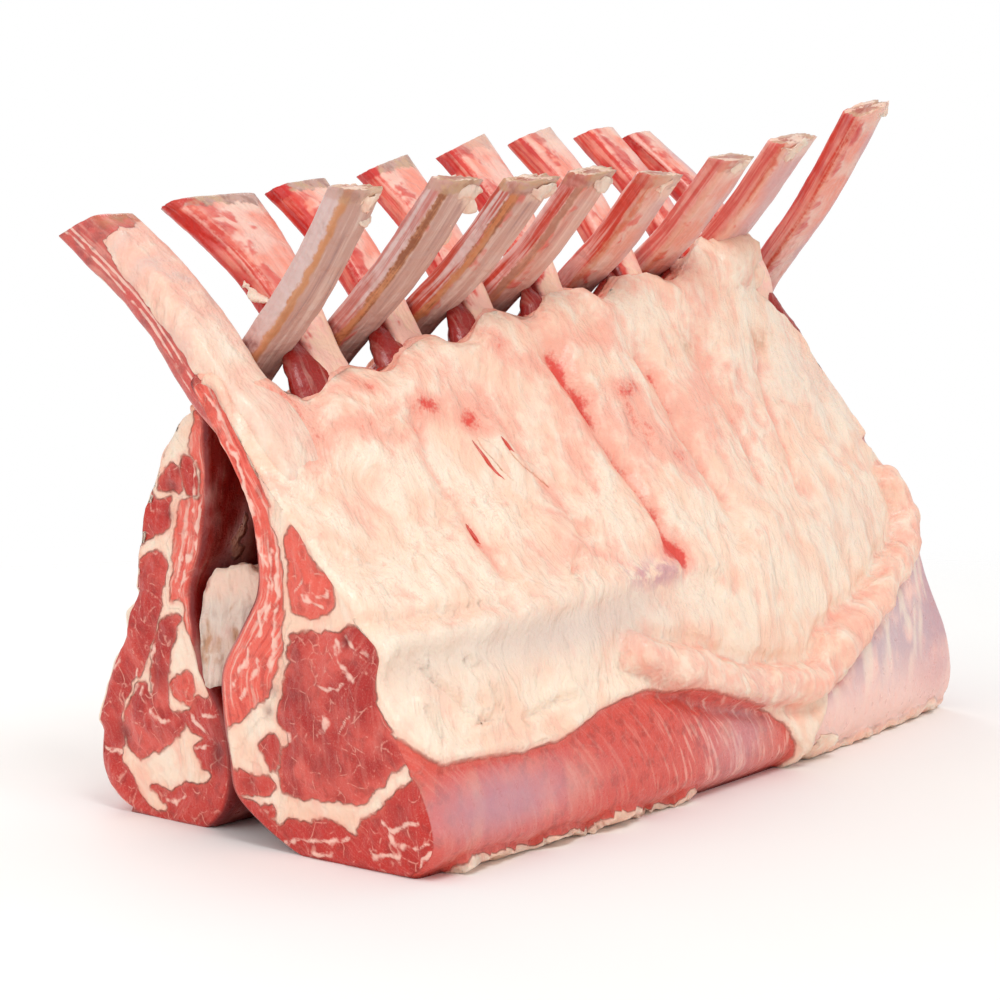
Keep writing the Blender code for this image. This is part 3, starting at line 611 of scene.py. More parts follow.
nearStrokes = [  # half width, then the line that the white takes
    (0.55, [(-38, 44), (-39, 40), (-42, 37)]), (0.4, [(-39, 37), (-36, 35), (-32, 35.4)]),
    (0.35, [(-39.5, 30), (-36, 26.5)]), (0.35, [(-33, 29), (-32, 26), (-29, 24)]),
    (0.9, [(-22.6, 23.4), (-20.5, 24.6), (-19, 24.2)]),
    (0.5, [(-45.6, 43.2), (-43, 43.8), (-40.6, 46)]),
    (0.75, [(-55.5, 11.8), (-50.5, 9.9), (-47.6, 8.7), (-45.3, 10.6)]),
    (0.6, [(-57, 7.4), (-53.8, 6.6), (-49.3, 5.5), (-47.2, 8)]),
    (0.6, [(-49.3, 5.5), (-49, 4.1), (-45.1, 3.7), (-42.6, 3.3), (-40.9, 4.7)]),
    (0.9, [(-64, 5.9), (-58.8, 4.9), (-55.5, 3.7), (-54.5, 0)]),
    (0.5, [(-36, 5.4), (-30, 4.2), (-24, 3.6), (-18, 1.8)]), (0.4, [(-31, 2.2), (-27, 0.8)]),
    (0.7, [(-15.3, 80.9), (-16.7, 77.6), (-18.4, 73.1), (-19.8, 63.1), (-21.4, 59.8)]),
    (0.45, [(-24.4, 60), (-23.4, 50), (-21.8, 44), (-19, 37)]), (0.4, [(-23, 61), (-22, 53), (-20.5, 47)]),
    (0.35, [(-21, 60), (-21.5, 56), (-20, 50), (-18, 44)]),
    (0.35, [(-17.2, 39.5), (-14, 34.5), (-10, 30.5)]),
    (0.4, [(-15.4, 42.5), (-12, 37), (-8.5, 33)]), (0.35, [(-19.4, 70), (-18.8, 66)]),
    (0.3, [(-13.5, 85), (-10, 90.5)]), (0.4, [(-37, 54), (-34, 52.6)]), (0.35, [(-35, 50.8), (-31, 52)]),
    (0.3, [(-31, 56), (-29, 53.4)]), (0.8, [(-14.9, 16.4), (-12.8, 17.6), (-9, 18.2)]),
]
farFace = {
    "eye": [(10.6, 24.5), (16.8, 24.6), (16.6, 29.5), (14.6, 36), (12.3, 41), (10.4, 44.4), (14.6, 44.6),
            (17.4, 42.6), (20, 38.6), (21.4, 33), (22.8, 27.4), (23.6, 30), (28, 28), (32, 22), (33.6, 16),
            (28, 12.4), (24, 14), (20.4, 15.6), (15, 19.6)],
    "outer": [(12.4, 56.4), (15.2, 58.2), (20, 56.4), (23.2, 53.2), (25, 50), (28, 47), (46, 30), (47, 13),
              (35, 14.6), (33.6, 17), (32, 23), (28, 28.6), (23.8, 32.2), (20.4, 37.6), (18, 41.6),
              (16, 45.6), (14, 51)],
    "bigRed": [(9.2, 69.4), (13, 68.8), (15, 70.6), (17, 74), (30, 66), (27, 59), (21, 59), (18, 60.6),
               (13, 62), (10.6, 63.2), (10, 66)],
    "lobe": [(5.6, 75.8), (8.6, 76.4), (11.6, 74), (12.8, 71), (9, 70.6), (5.6, 70.8)],
    "lobeTwo": [(1, 70), (0.6, 74.6), (2, 78), (5.4, 77.6), (5, 73), (4.4, 70.4)],
    "strip": [(-7, 97), (-1.5, 88), (1.4, 81), (2.2, 78.6), (0.2, 76.6), (0.6, 70), (4.4, 69.6), (7.6, 67),
              (9, 62), (10, 57.6), (12, 52), (12.6, 48), (9.4, 47.4), (9.2, 42), (4.6, 40), (0, 40),
              (-8, 50), (-12, 70), (-14, 90)],
    "low": [(0, 28), (5, 28.6), (9, 28), (10.4, 25), (14, 23.6), (11.5, 20.6), (8, 19.4), (11, 17), (9, 13),
            (6.4, 11.6), (8, 9.8), (11, 9), (15, 9.2), (20, 6.6), (25, 7.6), (26.4, 6.4), (23.6, 4.2),
            (21.4, 2.2), (26, 1.6), (30, 5), (32, 9.4), (35, 11), (35, 14.4), (48, 13.4), (48, -4), (6, -4),
            (-2, 6), (-4, 20)],
    "pinkLow": [(9, 33), (13, 32.4), (16, 30.6), (15.6, 27.4), (11, 26.4), (9, 29)],
}
farStrokes = [
    (1.0, [(-3.2, 85), (-2.5, 78), (-1.5, 73), (0.2, 68), (1.8, 65), (3.2, 60)]),
    (0.5, [(1.6, 76), (2.4, 70), (3, 67)]), (0.7, [(20.3, 38), (21.2, 34), (22.4, 29), (22.9, 27)]),
    (0.5, [(25, 31.4), (28.5, 28.4), (31.4, 24)]), (0.6, [(31.2, 33.6), (32.4, 32.2)]),
    (0.7, [(25.6, 29), (26.6, 27.4)]), (0.6, [(35.5, 14), (40, 13.6), (45, 15)]),
    (0.6, [(34, 1), (39, 3.4), (44.6, 8.6)]), (0.8, [(17, 22.6), (20, 21.8), (23, 23.6)]),
    (0.6, [(6, 19.6), (8.6, 22), (11, 24.6)]), (0.45, [(5.5, 17.8), (9, 17.4), (13, 17)]),
    (0.4, [(3, 24), (6, 24.4)]), (0.5, [(5, 58), (7, 54), (9.6, 50)]), (0.45, [(7, 60), (9, 55), (11, 52)]),
    (0.4, [(3.6, 54), (6, 52.4), (8.6, 52)]), (0.4, [(4.5, 63), (6, 60), (7, 57)]),
    (0.4, [(2, 51), (5, 49)]), (0.4, [(16, 6.4), (18, 5), (22, 4.4)]),
    (0.5, [(-5.6, 78), (-4.4, 72), (-2.6, 67)]),
]
leanTones = {  # 0 is the pale strip, 0.5 the bright cap, 1 the dark eye
    "eye": 1.0, "blade": 0.1, "strip": 0.05, "small": 0.8, "lobes": 0.35, "cap": 0.6, "island": 0.4,
    "corner": 0.3, "outer": 0.8, "bigRed": 0.6, "lobe": 0.8, "lobeTwo": 0.5, "low": 0.7, "pinkLow": 0.2,
}
faceDeeps = {  # dark places on the near cut faces: (y, z), reach and strength; wet places, except that on the far rack those along its inner edge, by the gap between the racks, are painted shade
    "near": [((-40.2, 44.6), 1.2, 0.9), ((-19.5, 33), 1.6, 0.35), ((-32, 20), 5, 0.25), ((-28, 35), 6, 0.2),
             ((-9.5, 12.6), 2.0, 0.4), ((-50, 12.5), 2, 0.3), ((-17.5, 28.6), 1.4, 0.5)],
    # the far face's dark places along its inner edge, y -5 to 4, are painted shade beside the near rack
    "far": [((-5, 80), 1.8, 0.8), ((-4.6, 74), 1.6, 0.7), ((-3, 68), 2.2, 0.9), ((-1, 64.6), 1.6, 0.8),
            ((3.5, 17.5), 2.2, 0.9), ((2.6, 22), 2.2, 0.5), ((33.4, 18), 2.4, 0.8), ((19, 31), 3, 0.35),
            ((9, 72), 1.6, 0.5), ((4, 14), 2, 0.5), ((2, 28), 2, 0.5), ((10.4, 66), 1.4, 0.6)],
}


# What the outer sides show, as (x, z) in the racks' frame.


nearOuter = {
    "grooves": [((31, 84), (34, 56), 1.6, 3.2), ((54, 90), (64, 62), 1.2, 3.4),
                ((81, 98), (94, 53), 2.4, 3.4), ((114, 98), (122, 66), 2.2, 3.6),
                ((140, 100), (142, 68), 1.6, 3.6), ((169, 102), (160, 66), 1.8, 3.8)],
    "roll": [(69, 35), (92, 28), (114, 23), (138, 21), (156, 28), (177, 36), (198, 44.5), (209, 54),
             (208, 64)],
    "rollHeight": 2.4, "rollWidth": 4.6, "lumps": 1.6,
    "ridge": [(-7, 41.5), (-0.8, 45.2), (12, 45.4), (25.8, 46.4), (45.5, 48.5), (67.6, 50.6), (98.6, 52.5)],
    "fatEdge": [(-9, 28.5), (-3.9, 27.4), (-1.4, 24.8), (2.1, 22), (12.5, 21.5), (24.1, 21.3), (36.8, 21.8),
                (51.7, 25.7), (69.8, 27.5), (88.9, 25.1), (113.1, 18.6), (126, 12), (132, 5), (133.8, -4)],
    "skinEdge": [(136, -4), (139, 7), (146, 15), (158, 21), (178, 29.5), (198, 37.5), (212, 46), (216, 56),
                 (214, 68), (206, 76), (230, 84)],
    "slits": [[(5.5, 38.9), (15.8, 28.4)], [(3.2, 31.5), (4.4, 27)], [(16.6, 39.4), (18.6, 35)],
              [(18.6, 38), (21.5, 30), (14, 27.5)], [(52, 52.4), (56, 55), (59, 57.6)],
              [(28, 27), (44, 29.6)]],
    "blushes": [  # (x, z), reach along x and z, strength
        ((90, 54.5), 5.5, 2.6, 1.5), ((102, 78), 12, 9, 0.8), ((80, 84), 7, 8, 0.5), ((63, 101), 4, 3, 0.9),
        ((36, 88), 5, 2, 0.8), ((60, 57), 34, 4, 0.5), ((0, 84), 7, 6, 0.5), ((22, 92), 5, 2.4, 0.9),
        ((79, 108), 5, 2.6, 0.9), ((72, 74), 4, 6, 0.6), ((100, 90), 5, 3, 0.8), ((112, 72), 4, 6, 0.5),
        ((46, 84), 6, 3, 0.7), ((128, 84), 9, 12, 0.45), ((18, 84), 10, 4, 0.5), ((45, 90), 12, 5, 0.4),
        ((70, 96), 9, 4, 0.55), ((95, 101), 14, 4, 0.4), ((2, 78), 5, 14, 0.35), ((33.7, 62), 1.6, 3, 0.9),
        ((150, 84), 7, 13, 0.3), ((60, 66), 8, 6, 0.35), ((91, 63), 4, 8, 0.4), ((180, 22), 24, 9, 0.3),
        ((8, 68), 6, 5, 0.2)],
    "purples": [((80, 51), 10, 2.6, 1.1), ((18, 13), 22, 6, 0.95), ((106, 12), 14, 10, 0.5),
                ((222, 30), 9, 26, 0.35), ((214, 12), 14, 6, 0.2)],
    # grey spots, (x, z), reach along x and z, strength: those just under the ridge, at z 37 to 46, are
    # painted shade below the ledge; the others are greyer places in the fat
    "greysAndLedgeShade": [((45, 42), 36, 5, 0.95), ((70, 46), 14, 3.5, 0.5), ((190, 92), 30, 12, 0.35),
              ((3, 37), 5, 8, 0.25), ((178, 56), 22, 9, 0.3)],
    "stains": [((134, 100.5), 4, 2.5, 0.5), ((169, 101.9), 5, 2.5, 0.55), ((-6, 17.5), 2.6, 3, 0.75)],
}
farOuter = {
    "ridge": [(0, 44), (60, 50), (130, 54), (200, 56)],
    "fatEdge": [(-6, 19), (30, 21), (70, 22), (110, 19), (150, 15), (180, 8), (196, -4)],
    "skinEdge": [(200, -4), (212, 14), (226, 30), (238, 44), (262, 52)],
    "blushes": [((40, 80), 14, 8, 0.7), ((88, 70), 10, 12, 0.6), ((130, 88), 16, 8, 0.6),
                ((180, 76), 14, 12, 0.5), ((70, 40), 20, 6, 0.4), ((150, 48), 24, 6, 0.45),
                ((220, 80), 12, 10, 0.5)],
    "grooves": [((46, 88), (52, 60), 1.2, 3.4), ((72, 92), (80, 62), 1.4, 3.4),
                ((98, 96), (108, 62), 1.2, 3.4), ((126, 98), (134, 66), 1.4, 3.6),
                ((152, 100), (160, 68), 1.2, 3.6)],
    # the grey spot lies just under the ridge: painted shade below the ledge
    "purples": [((236, 24), 14, 18, 0.35)], "greysAndLedgeShade": [((110, 44), 50, 4, 0.4)],
    "stains": [((190, 100), 5, 3, 0.4)],
    "slits": [],
    "roll": [], "rollHeight": 0, "rollWidth": 1, "lumps": 1.6,
}
block = {
    "alongCells": 196, "levelCells": 120, "depthCells": 46,
    "endStations": (0, 0.25, 0.6, 1.1, 1.7, 2.6),  # mm from each cut face, where the sides round over
    "fillet": 1.7, "foot": 5.0, "footInset": 2.2, "clearance": 0.02,
}


usualMarks = {  # what the finish of meat and fat is told where a piece doesn't say
    "fatEdge": 0, "lean": 0, "skin": 0, "blush": 0, "stain": 0, "grey": 0, "deep": 0, "purple": 0,
    "specks": 0, "streaky": 0, "cream": 0, "lobed": 0, "pinkish": 0, "seam": -5, "frayed": 1,
}


def marksFor(points, **given):
    # all the finish's marks for these points; its grain runs up z across x unless it is given
    marks = {**usualMarks, "grainAcross": points[:, 0], "grainAlong": points[:, 2], **given}
    return {
        name: np.broadcast_to(np.asarray(value, float), len(points)).copy() for name, value in marks.items()}


def spots(x, z, places):
    total = np.zeros(len(x))
    for (px, pz), reachX, reachZ, strength in places:
        total += strength * bell(np.hypot((x - px) / reachX, (z - pz) / reachZ))
    return total


def wandering(xz, amount):
    # the same places pushed about, so that what is drawn on them isn't straight
    flat = np.column_stack([xz, np.zeros(len(xz))])
    return xz + amount * np.column_stack([fieldNoise(flat, 14, 61, 3), fieldNoise(flat, 14, 62, 3)])


def outerMarks(rack, points, looks):
    # what each point of the outer side shows, as the finish's marks
    x, z = points[:, 0], points[:, 2]
    xz = points[:, [0, 2]]
    loose = wandering(xz, 2.4)
    leanLoop = [*looks["fatEdge"], (looks["fatEdge"][-1][0], -9), (-30, -9), (-30, looks["fatEdge"][0][1])]
    skinLoop = [*looks["skinEdge"], (300, looks["skinEdge"][-1][1]), (300, -9),
                (looks["skinEdge"][0][0], -9)]
    leanIn, skinIn = insideDistance(wandering(xz, 0.8), leanLoop), insideDistance(loose, skinLoop)
    grooves = np.zeros(len(x))
    broad = fieldNoise(points, (26, 26, 18), 3)
    hem = (
        ramp(-z + 3.5 * fieldNoise(points, (9, 9, 20), 15, 2), -6, 0)
        * ramp(x, 0, 12) * ramp(-x, -100, -84))
    for start, end, depth, half in looks["grooves"]:
        away = lineDistance(loose, [start, end])
        grooves += depth / 2.4 * (0.5 * bell(away / half) + 0.45 * bell(away / (0.3 * half)))
    purple = spots(x, z, looks["purples"])
    foot = ramp(skinIn, -2, 6) * ramp(-z + 2.5 * broad, -13, -3)
    skin = ramp(skinIn, -1, 2) + 1.1 * ramp(leanIn, 0, 2) * purple
    high = ramp(z, 60, 100) * ramp(-x, -190, -120)
    below = ramp(lineDistance(xz, looks["ridge"]), 16, 6) * (z < 46) * ramp(-x, -75, -35)
    besideRoll = np.zeros(len(x))
    if looks["roll"]:
        away = lineDistance(loose, smoothLine(looks["roll"], 60))
        # pinker in the crease on each side of the cord, which is painted shade of that crease, and pinker on
        # the cord itself
        besideRoll = bell((away - looks["rollWidth"]) / 1.3) * 0.4 + 0.5 * bell(away / looks["rollWidth"])
    fatEdge = (
        -np.maximum(leanIn, skinIn) + 12 * ramp(foot, 0.55, 0.9) + hem * (6 + leanIn) * (rack.side < 0))
    blush = spots(x, z, looks["blushes"]) + 0.75 * grooves + 0.34 * high * (1 + 1.5 * broad)
    # grey carries painted shade under the ridge as well as greyer places in the fat
    return marksFor(
        points, fatEdge=fatEdge, lean=0.26, skin=np.clip(skin, 0, 0.95),
        pinkish=ramp(-z, -24, -8) * ramp(skinIn, -2, 4), blush=blush + besideRoll + 0.3 * foot + 0.3 * hem,
        stain=spots(x, z, looks["stains"]), grey=0.8 * np.clip(spots(x, z, looks["greysAndLedgeShade"]), 0, 1),
        purple=np.clip(purple, 0, 0.8), frayed=0.3, specks=0.2 * (skinIn < 0),
        streaky=0.2 + 0.6 * ramp(x, 60, 95), cream=0.55 * below,
        lobed=ramp(z, 40, 50) * ramp(-x, -170, -60) * 0.9 + 0.1,
        grainAcross=0.8 * (x + 14 * (z / 27) ** 2))  # the fibres curve as they rise


sideRelief = {  # how far each form stands out of the outer side, or goes into it, in mm
    "groove": 0.9, "grooveLine": 0.4, "roll": 1.7, "besideRoll": 1.3, "lump": 4, "fat": 1.0, "lip": 0.9,
    "sunk": 0.9, "ridge": 1.3, "ledge": 1.1, "slit": 0.8, "folds": 1.15, "ripples": 0.35, "fibres": 0.16,
    "farSunk": 1.3,
}
faceRelief = {  # and of the cut faces
    "lean": 0.7, "outline": 0.25, "wide": 0.45, "fine": 0.15, "seam": 0.2, "deep": 0.6,
}


def outerRelief(rack, points, marks, looks):
    # how far the outer side stands out, in mm
    x, z = points[:, 0], points[:, 2]
    xz = points[:, [0, 2]]
    loose = wandering(xz, 2.0)
    height, form = np.zeros(len(x)), sideRelief
    for start, end, depth, half in looks["grooves"]:
        away = lineDistance(loose, [start, end])
        wide, line = bell(away / (1.25 * half)), bell(away / (0.36 * half))
        height -= depth * (form["groove"] * wide + form["grooveLine"] * line)
    if looks["roll"]:
        away = lineDistance(loose, smoothLine(looks["roll"], 60))
        beads = 1 + 0.35 * fieldNoise(points, 8, 8, 2)
        cord = np.sqrt(np.clip(1.02 - (away / looks["rollWidth"]) ** 2, 0, 1))
        height += looks["rollHeight"] * beads * cord * form["roll"]
        height -= form["besideRoll"] * bell((away - 1.3 * looks["rollWidth"]) / 2.0)
    if rack.name == "near":
        height += (
            form["lump"] * bell((x - edgeShape["lumpX"]) / edgeShape["lumpWidth"]) * bell((z - 118) / 12))
    lumps = [noise.noise(Vector((px / 26, rack.side * 3.7, pz / 20))) for px, pz in xz]
    height += looks["lumps"] * np.array(lumps)
    height *= np.clip(z / 12, 0, 1)
    fat = ramp(marks["fatEdge"] + 0.3 * fieldNoise(points, 4, 5, 2), -0.7, 1.1)
    lip = fat * (1 - ramp(marks["fatEdge"], 1, 7))
    height += form["fat"] * fat + form["lip"] * lip - form["sunk"]
    ridgeAway = lineDistance(xz, smoothLine(looks["ridge"], 30))
    ledge = bell((ridgeAway - 6) / 4) * (z < 50)
    height += fat * (form["ridge"] * bell(ridgeAway / 2.4) - form["ledge"] * ledge)
    for line in looks["slits"]:
        away = lineDistance(wandering(xz, 0.8), smoothLine(line, 16))
        height += fat * form["slit"] * (bell((away - 1.6) / 1.0) - bell(away / 0.7))
    folds = fieldNoise(points, (9, 9, 22), 11, 3)
    ripples = fieldNoise(points, (3.5, 3.5, 9), 12, 3)
    height += fat * (form["folds"] * folds + form["ripples"] * ripples)
    height += (1 - fat) * form["fibres"] * fieldNoise(points, (4, 4, 16), 14, 2)
    if rack.side > 0:
        height -= form["farSunk"]
    return height


def faceMarks(rack, level, depth, face, strokes, deeps):
    # the same marks on a cut face: each of its points is judged at its place on the near end
    points = rack.flat(0.0, level, depth)
    wander = np.column_stack([points, np.zeros(len(points))])
    moved = points + 0.5 * np.column_stack([fieldNoise(wander, 4, 21, 2), fieldNoise(wander, 4, 22, 2)])
    best, lean = np.full(len(points), -1e9), np.zeros(len(points))
    for name, loop in face.items():
        inside = insideDistance(moved, smoothLoop(loop, 4 * len(loop)))
        lean = np.where(inside > best, leanTones[name], lean)
        best = np.maximum(best, inside)
    seam = np.full(len(points), -5.0)
    wobble = 1.4 * np.column_stack([fieldNoise(wander, 5, 23, 3), fieldNoise(wander, 5, 24, 3)])
    gaps = 0.5 * fieldNoise(wander, 2.5, 25, 2)
    for half, line in strokes:
        away = lineDistance(points + wobble, smoothLine(line, 4 * len(line)))
        seam = np.maximum(seam, 0.6 * half + gaps - away)
    deep = np.zeros(len(points))
    for place, reach, strength in deeps:
        deep += strength * bell(np.hypot(*(points - place).T) / reach)
    widths = np.linalg.norm(rack.flat(0.0, level, 1.0) - rack.flat(0.0, level, 0.0), axis=1)
    inStrip = np.where(lean < 0.08, 1.0, 0.0)
    return marksFor(
        wander, fatEdge=-best, seam=seam, lean=lean, blush=0.12, deep=np.clip(deep, 0, 0.9),
        specks=0.9 - 0.4 * inStrip, streaky=0.12 + 0.88 * inStrip, lobed=0.3,
        grainAcross=widths * depth, grainAlong=8.5 * level)


# the racks' inner walls: red meat and film, made very dark with the deep mark, which is partly the meat's
# own dark red and partly painted shade of the narrow gap between the racks
def innerMarks(points):
    broad = fieldNoise(points, (9, 9, 14), 31, 3)
    return marksFor(
        points, fatEdge=3.2 * broad - 2.5, lean=0.3, skin=np.clip(0.5 * broad, 0, 0.5), blush=0.5,
        deep=np.clip(0.8 - 0.5 * broad, 0.3, 1), specks=0.6, streaky=0.5, lobed=0.3)


def makeBlock(rack, face, strokes, looks):
    cells = (block["alongCells"], block["levelCells"], block["depthCells"])
    ends = np.array(block["endStations"]) / rack.length
    stations = np.concatenate([
        ends[:-1], np.linspace(ends[-1], 1 - ends[-1], cells[0] - 2 * len(ends) + 3), 1 - ends[-2::-1]])
    stations = np.sort(stations)
    nI, nJ, nK = len(stations) - 1, cells[1], cells[2]

    tops = np.array([rack.trimLevel(a) for a in stations])
    tables = []
    for a, top in zip(stations, tops):
        levels = np.linspace(0, top, 200)
        run = distanceAlong(rack.flat(a, levels, 1.0))
        tables.append((levels, run))

    def levelsAt(i, share):
        levels, run = tables[i]
        return np.interp(share * run[-1], run, levels), (1 - share) * run[-1]

    fromEnd = np.minimum(stations, 1 - stations) * rack.length
    fillet = block["fillet"]
    insets = fillet - np.sqrt(np.clip(fillet**2 - np.clip(fillet - fromEnd, 0, fillet) ** 2, 0, None))

    def place(i, share, depth):
        # the section's point, with its top edge, its foot and the edges of the cut faces rounded
        level, below = levelsAt(i, share * (1 - insets[i] / tables[i][1][-1]))
        fade = np.clip((below - insets[i]) / edgeShape["rounding"], 0, 1)
        width = 0.45 + 0.55 * np.sqrt(1 - (1 - fade) ** 2)
        inner, outer = rack.flat(stations[i], level, 0.0), rack.flat(stations[i], level, 1.0)
        low = np.clip(1 - outer[:, 1] / block["foot"], 0, 1)
        full = np.linalg.norm(outer - inner, axis=1)
        width = width - (2 * insets[i] + block["footInset"] * (1 - np.sqrt(1 - low**2))) / full
        thick = 0.5 + (depth - 0.5) * np.clip(width, 0.1, 1)
        return level, thick

    shareJ, shareK = np.linspace(0, 1, nJ + 1), np.linspace(0, 1, nK + 1)
    index = np.full((nI + 1, nJ + 1, nK + 1), -1)
    ii, jj, kk = np.meshgrid(np.arange(nI + 1), np.arange(nJ + 1), np.arange(nK + 1), indexing="ij")
    onShell = (ii == nI) | (jj == 0) | (jj == nJ) | (kk == 0) | (kk == nK)
    onShell &= ii > 0
    index[onShell] = np.arange(onShell.sum())
    shell = np.argwhere(onShell)
    along = stations[shell[:, 0]]
    level, depth = np.zeros(len(shell)), np.zeros(len(shell))
    for i in range(1, nI + 1):
        rows = shell[:, 0] == i
        level[rows], depth[rows] = place(i, shareJ[shell[rows, 1]], shareK[shell[rows, 2]])

    # the near cut face has twice as many cells each way, as it shows the most
    fineJ, fineK = np.meshgrid(np.arange(2 * nJ + 1), np.arange(2 * nK + 1), indexing="ij")
    fineIndex = len(shell) + np.arange(fineJ.size).reshape(fineJ.shape)
    fineLevel, fineDepth = place(0, fineJ.ravel() / (2 * nJ), fineK.ravel() / (2 * nK))
    along = np.concatenate([along, np.zeros(fineJ.size)])
    level, depth = np.concatenate([level, fineLevel]), np.concatenate([depth, fineDepth])
    points = rack.point(along, level, depth)

    faces = []

    def quads(grid, flip):
        a, b, c, d = grid[:-1, :-1], grid[1:, :-1], grid[1:, 1:], grid[:-1, 1:]
        cellsHere = np.stack([a, b, c, d] if not flip else [d, c, b, a], -1).reshape(-1, 4)
        faces.extend(cellsHere.tolist())

    quads(index[1:, :, nK], False)
    quads(index[1:, :, 0], True)
    quads(index[nI], False)
    quads(index[1:, nJ, :].T, False)
    quads(index[1:, 0, :].T, True)
    quads(fineIndex, True)
    for fine, coarse, flip in (
            (fineIndex[:, -1], index[1, :, nK], False), (fineIndex[:, 0], index[1, :, 0], True),
            (fineIndex[-1, :], index[1, nJ, :], True), (fineIndex[0, :], index[1, 0, :], False)):
        for n in range(len(coarse) - 1):
            around = [fine[2 * n], coarse[n], coarse[n + 1], fine[2 * n + 2], fine[2 * n + 1]]
            faces.append([int(v) for v in (around[::-1] if flip else around)])

    # marks, side by side
    marks = {}

    def put(rows, values):
        for name, value in values.items():
            marks.setdefault(name, np.zeros(len(points)))[rows] = value

    count = len(shell)
    isOuter = np.zeros(len(points), bool)
    isOuter[:count] = shell[:, 2] == nK
    isOuter[count:] = fineK.ravel() == 2 * nK
    isTop = np.zeros(len(points), bool)
    isTop[:count] = shell[:, 1] == nJ
    isNear = np.arange(len(points)) >= count
    isFar = np.zeros(len(points), bool)
    isFar[:count] = shell[:, 0] == nI
    put(np.arange(len(points)), innerMarks(points))
    topShare = np.clip((depth[isTop] - 0.27) / 0.46, 0, 1)
    put(isTop, {
        "fatEdge": np.interp(topShare, [0, 0.35, 1], [-4, -0.2, 3]), "skin": 0.0, "lean": 0.45,
        "deep": np.interp(topShare, [0, 0.6], [0.5, 0.0]), "blush": 0.9})
    put(isOuter, outerMarks(rack, points[isOuter], looks))
    for rows in (isFar & ~isOuter, isNear & ~isOuter):
        put(rows, faceMarks(rack, level[rows], depth[rows], face, strokes, faceDeeps[rack.name]))

    # relief: outwards on the outer side, and a little on the cut faces
    height = np.zeros(len(points))
    outward = np.zeros((len(points), 3))
    outerMarksNow = {name: values[isOuter] for name, values in marks.items()}
    step = 1e-3
    for rows in (isOuter, isNear, isFar):
        up = rack.point(along[rows], level[rows] + step, 1.0 + 0 * level[rows])
        down = rack.point(along[rows], level[rows] - step, 1.0 + 0 * level[rows])
        ahead = rack.point(along[rows] + step, level[rows], 1.0 + 0 * level[rows])
        behind = rack.point(along[rows] - step, level[rows], 1.0 + 0 * level[rows])
        normal = np.cross(up - down, ahead - behind)
        normal *= np.sign(normal[:, 1:2]) * rack.side
        outward[rows] = normal / np.linalg.norm(normal, axis=1)[:, None]
    outerPoints = points[isOuter]
    height[isOuter] = outerRelief(rack, outerPoints, outerMarksNow, looks)
    for rows, a in ((isNear, 0.0), (isFar, 1.0)):
        inner = rows & ~isOuter
        edge = rack.point(a + 0 * level[inner], level[inner], 1.0 + 0 * level[inner])
        edgeLooks = outerMarks(rack, edge, looks)
        height[inner] = outerRelief(rack, edge, edgeLooks, looks) * depth[inner] ** 6
    points = points + outward * height[:, None]

    form = faceRelief
    for rows, side in ((isNear, -1), (isFar, 1)):
        spot = points[rows]
        leanHere = -marks["fatEdge"][rows]
        bulge = form["lean"] * ramp(leanHere, 0, 5) - form["outline"] * ramp(leanHere, 0, 0.8)
        bulge += form["wide"] * fieldNoise(spot, (6, 6, 6), 41, 3)
        bulge += form["fine"] * fieldNoise(spot, 1.8, 42, 2)
        bulge += form["seam"] * ramp(marks["seam"][rows], -0.3, 0.3) - form["deep"] * marks["deep"][rows]
        rim = (
            np.minimum(ramp(depth[rows], 0, 0.12), ramp(1 - depth[rows], 0, 0.12))
            * ramp(level[rows], 0, 0.3))
        points[rows, 0] += side * bulge * rim
    inner = (depth < 1e-6) & ~isNear & ~isFar
    points[inner, 1] += rack.side * 0.5 * fieldNoise(points[inner], (8, 8, 8), 51, 3)
    topRise = isTop & ~isNear & ~isFar
    points[topRise, 2] += 0.9 * fieldNoise(points[topRise], (7, 3, 7), 52, 3) + 0.5
    low = points[:, 2] < block["clearance"]
    points[low, 2] = block["clearance"]
    rack.skin = points[isOuter]
    piece = addMesh(rack.name + "Meat", points, faces, meatFinish, marks)
    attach(piece, "root")
    nodes = [
        f"{rack.name}_{part}"
        for part in ("fat", "rib_meat", "eye_muscle", "blade_muscle", "cap_muscle")]
    if rack.name == "near":
        nodes.append("near_chine")
    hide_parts(*nodes)
    return piece


rackShapes = {name: Rack(name, **form) for name, form in racks.items()}
makeBlock(rackShapes["near"], nearFace, nearStrokes, nearOuter)
print("near rack's meat made")
makeBlock(rackShapes["far"], farFace, farStrokes, farOuter)
print("far rack's meat made")


# The ribs. Each is a flat bar with crisp corners: a broad face towards the camera, a side that
# looks to the near end, and a corner between the two.


ribTones = {
    "face": colour(252, 152, 128), "facePale": colour(252, 198, 180), "lilac": colour(214, 168, 174),
    "side": colour(222, 58, 40), "sidePale": colour(240, 136, 116), "blood": colour(206, 26, 16),
    "darkBlood": colour(110, 10, 6), "dryFace": colour(200, 154, 140), "dryPale": colour(230, 200, 186),
    "dryGrey": colour(160, 122, 118), "drySide": colour(186, 66, 44), "greyAndLitSide": colour(216, 186, 180),
    "rust": colour(206, 136, 84), "brown": colour(132, 66, 38), "tornFat": colour(248, 216, 194),
    "sawn": colour(200, 158, 124), "marrow": colour(178, 108, 88), "fat": colour(252, 208, 182),
}


def bellOf(board, value):
    return board.node("ShaderNodeMath", {"operation": "EXPONENT"}, 0 - value * value)


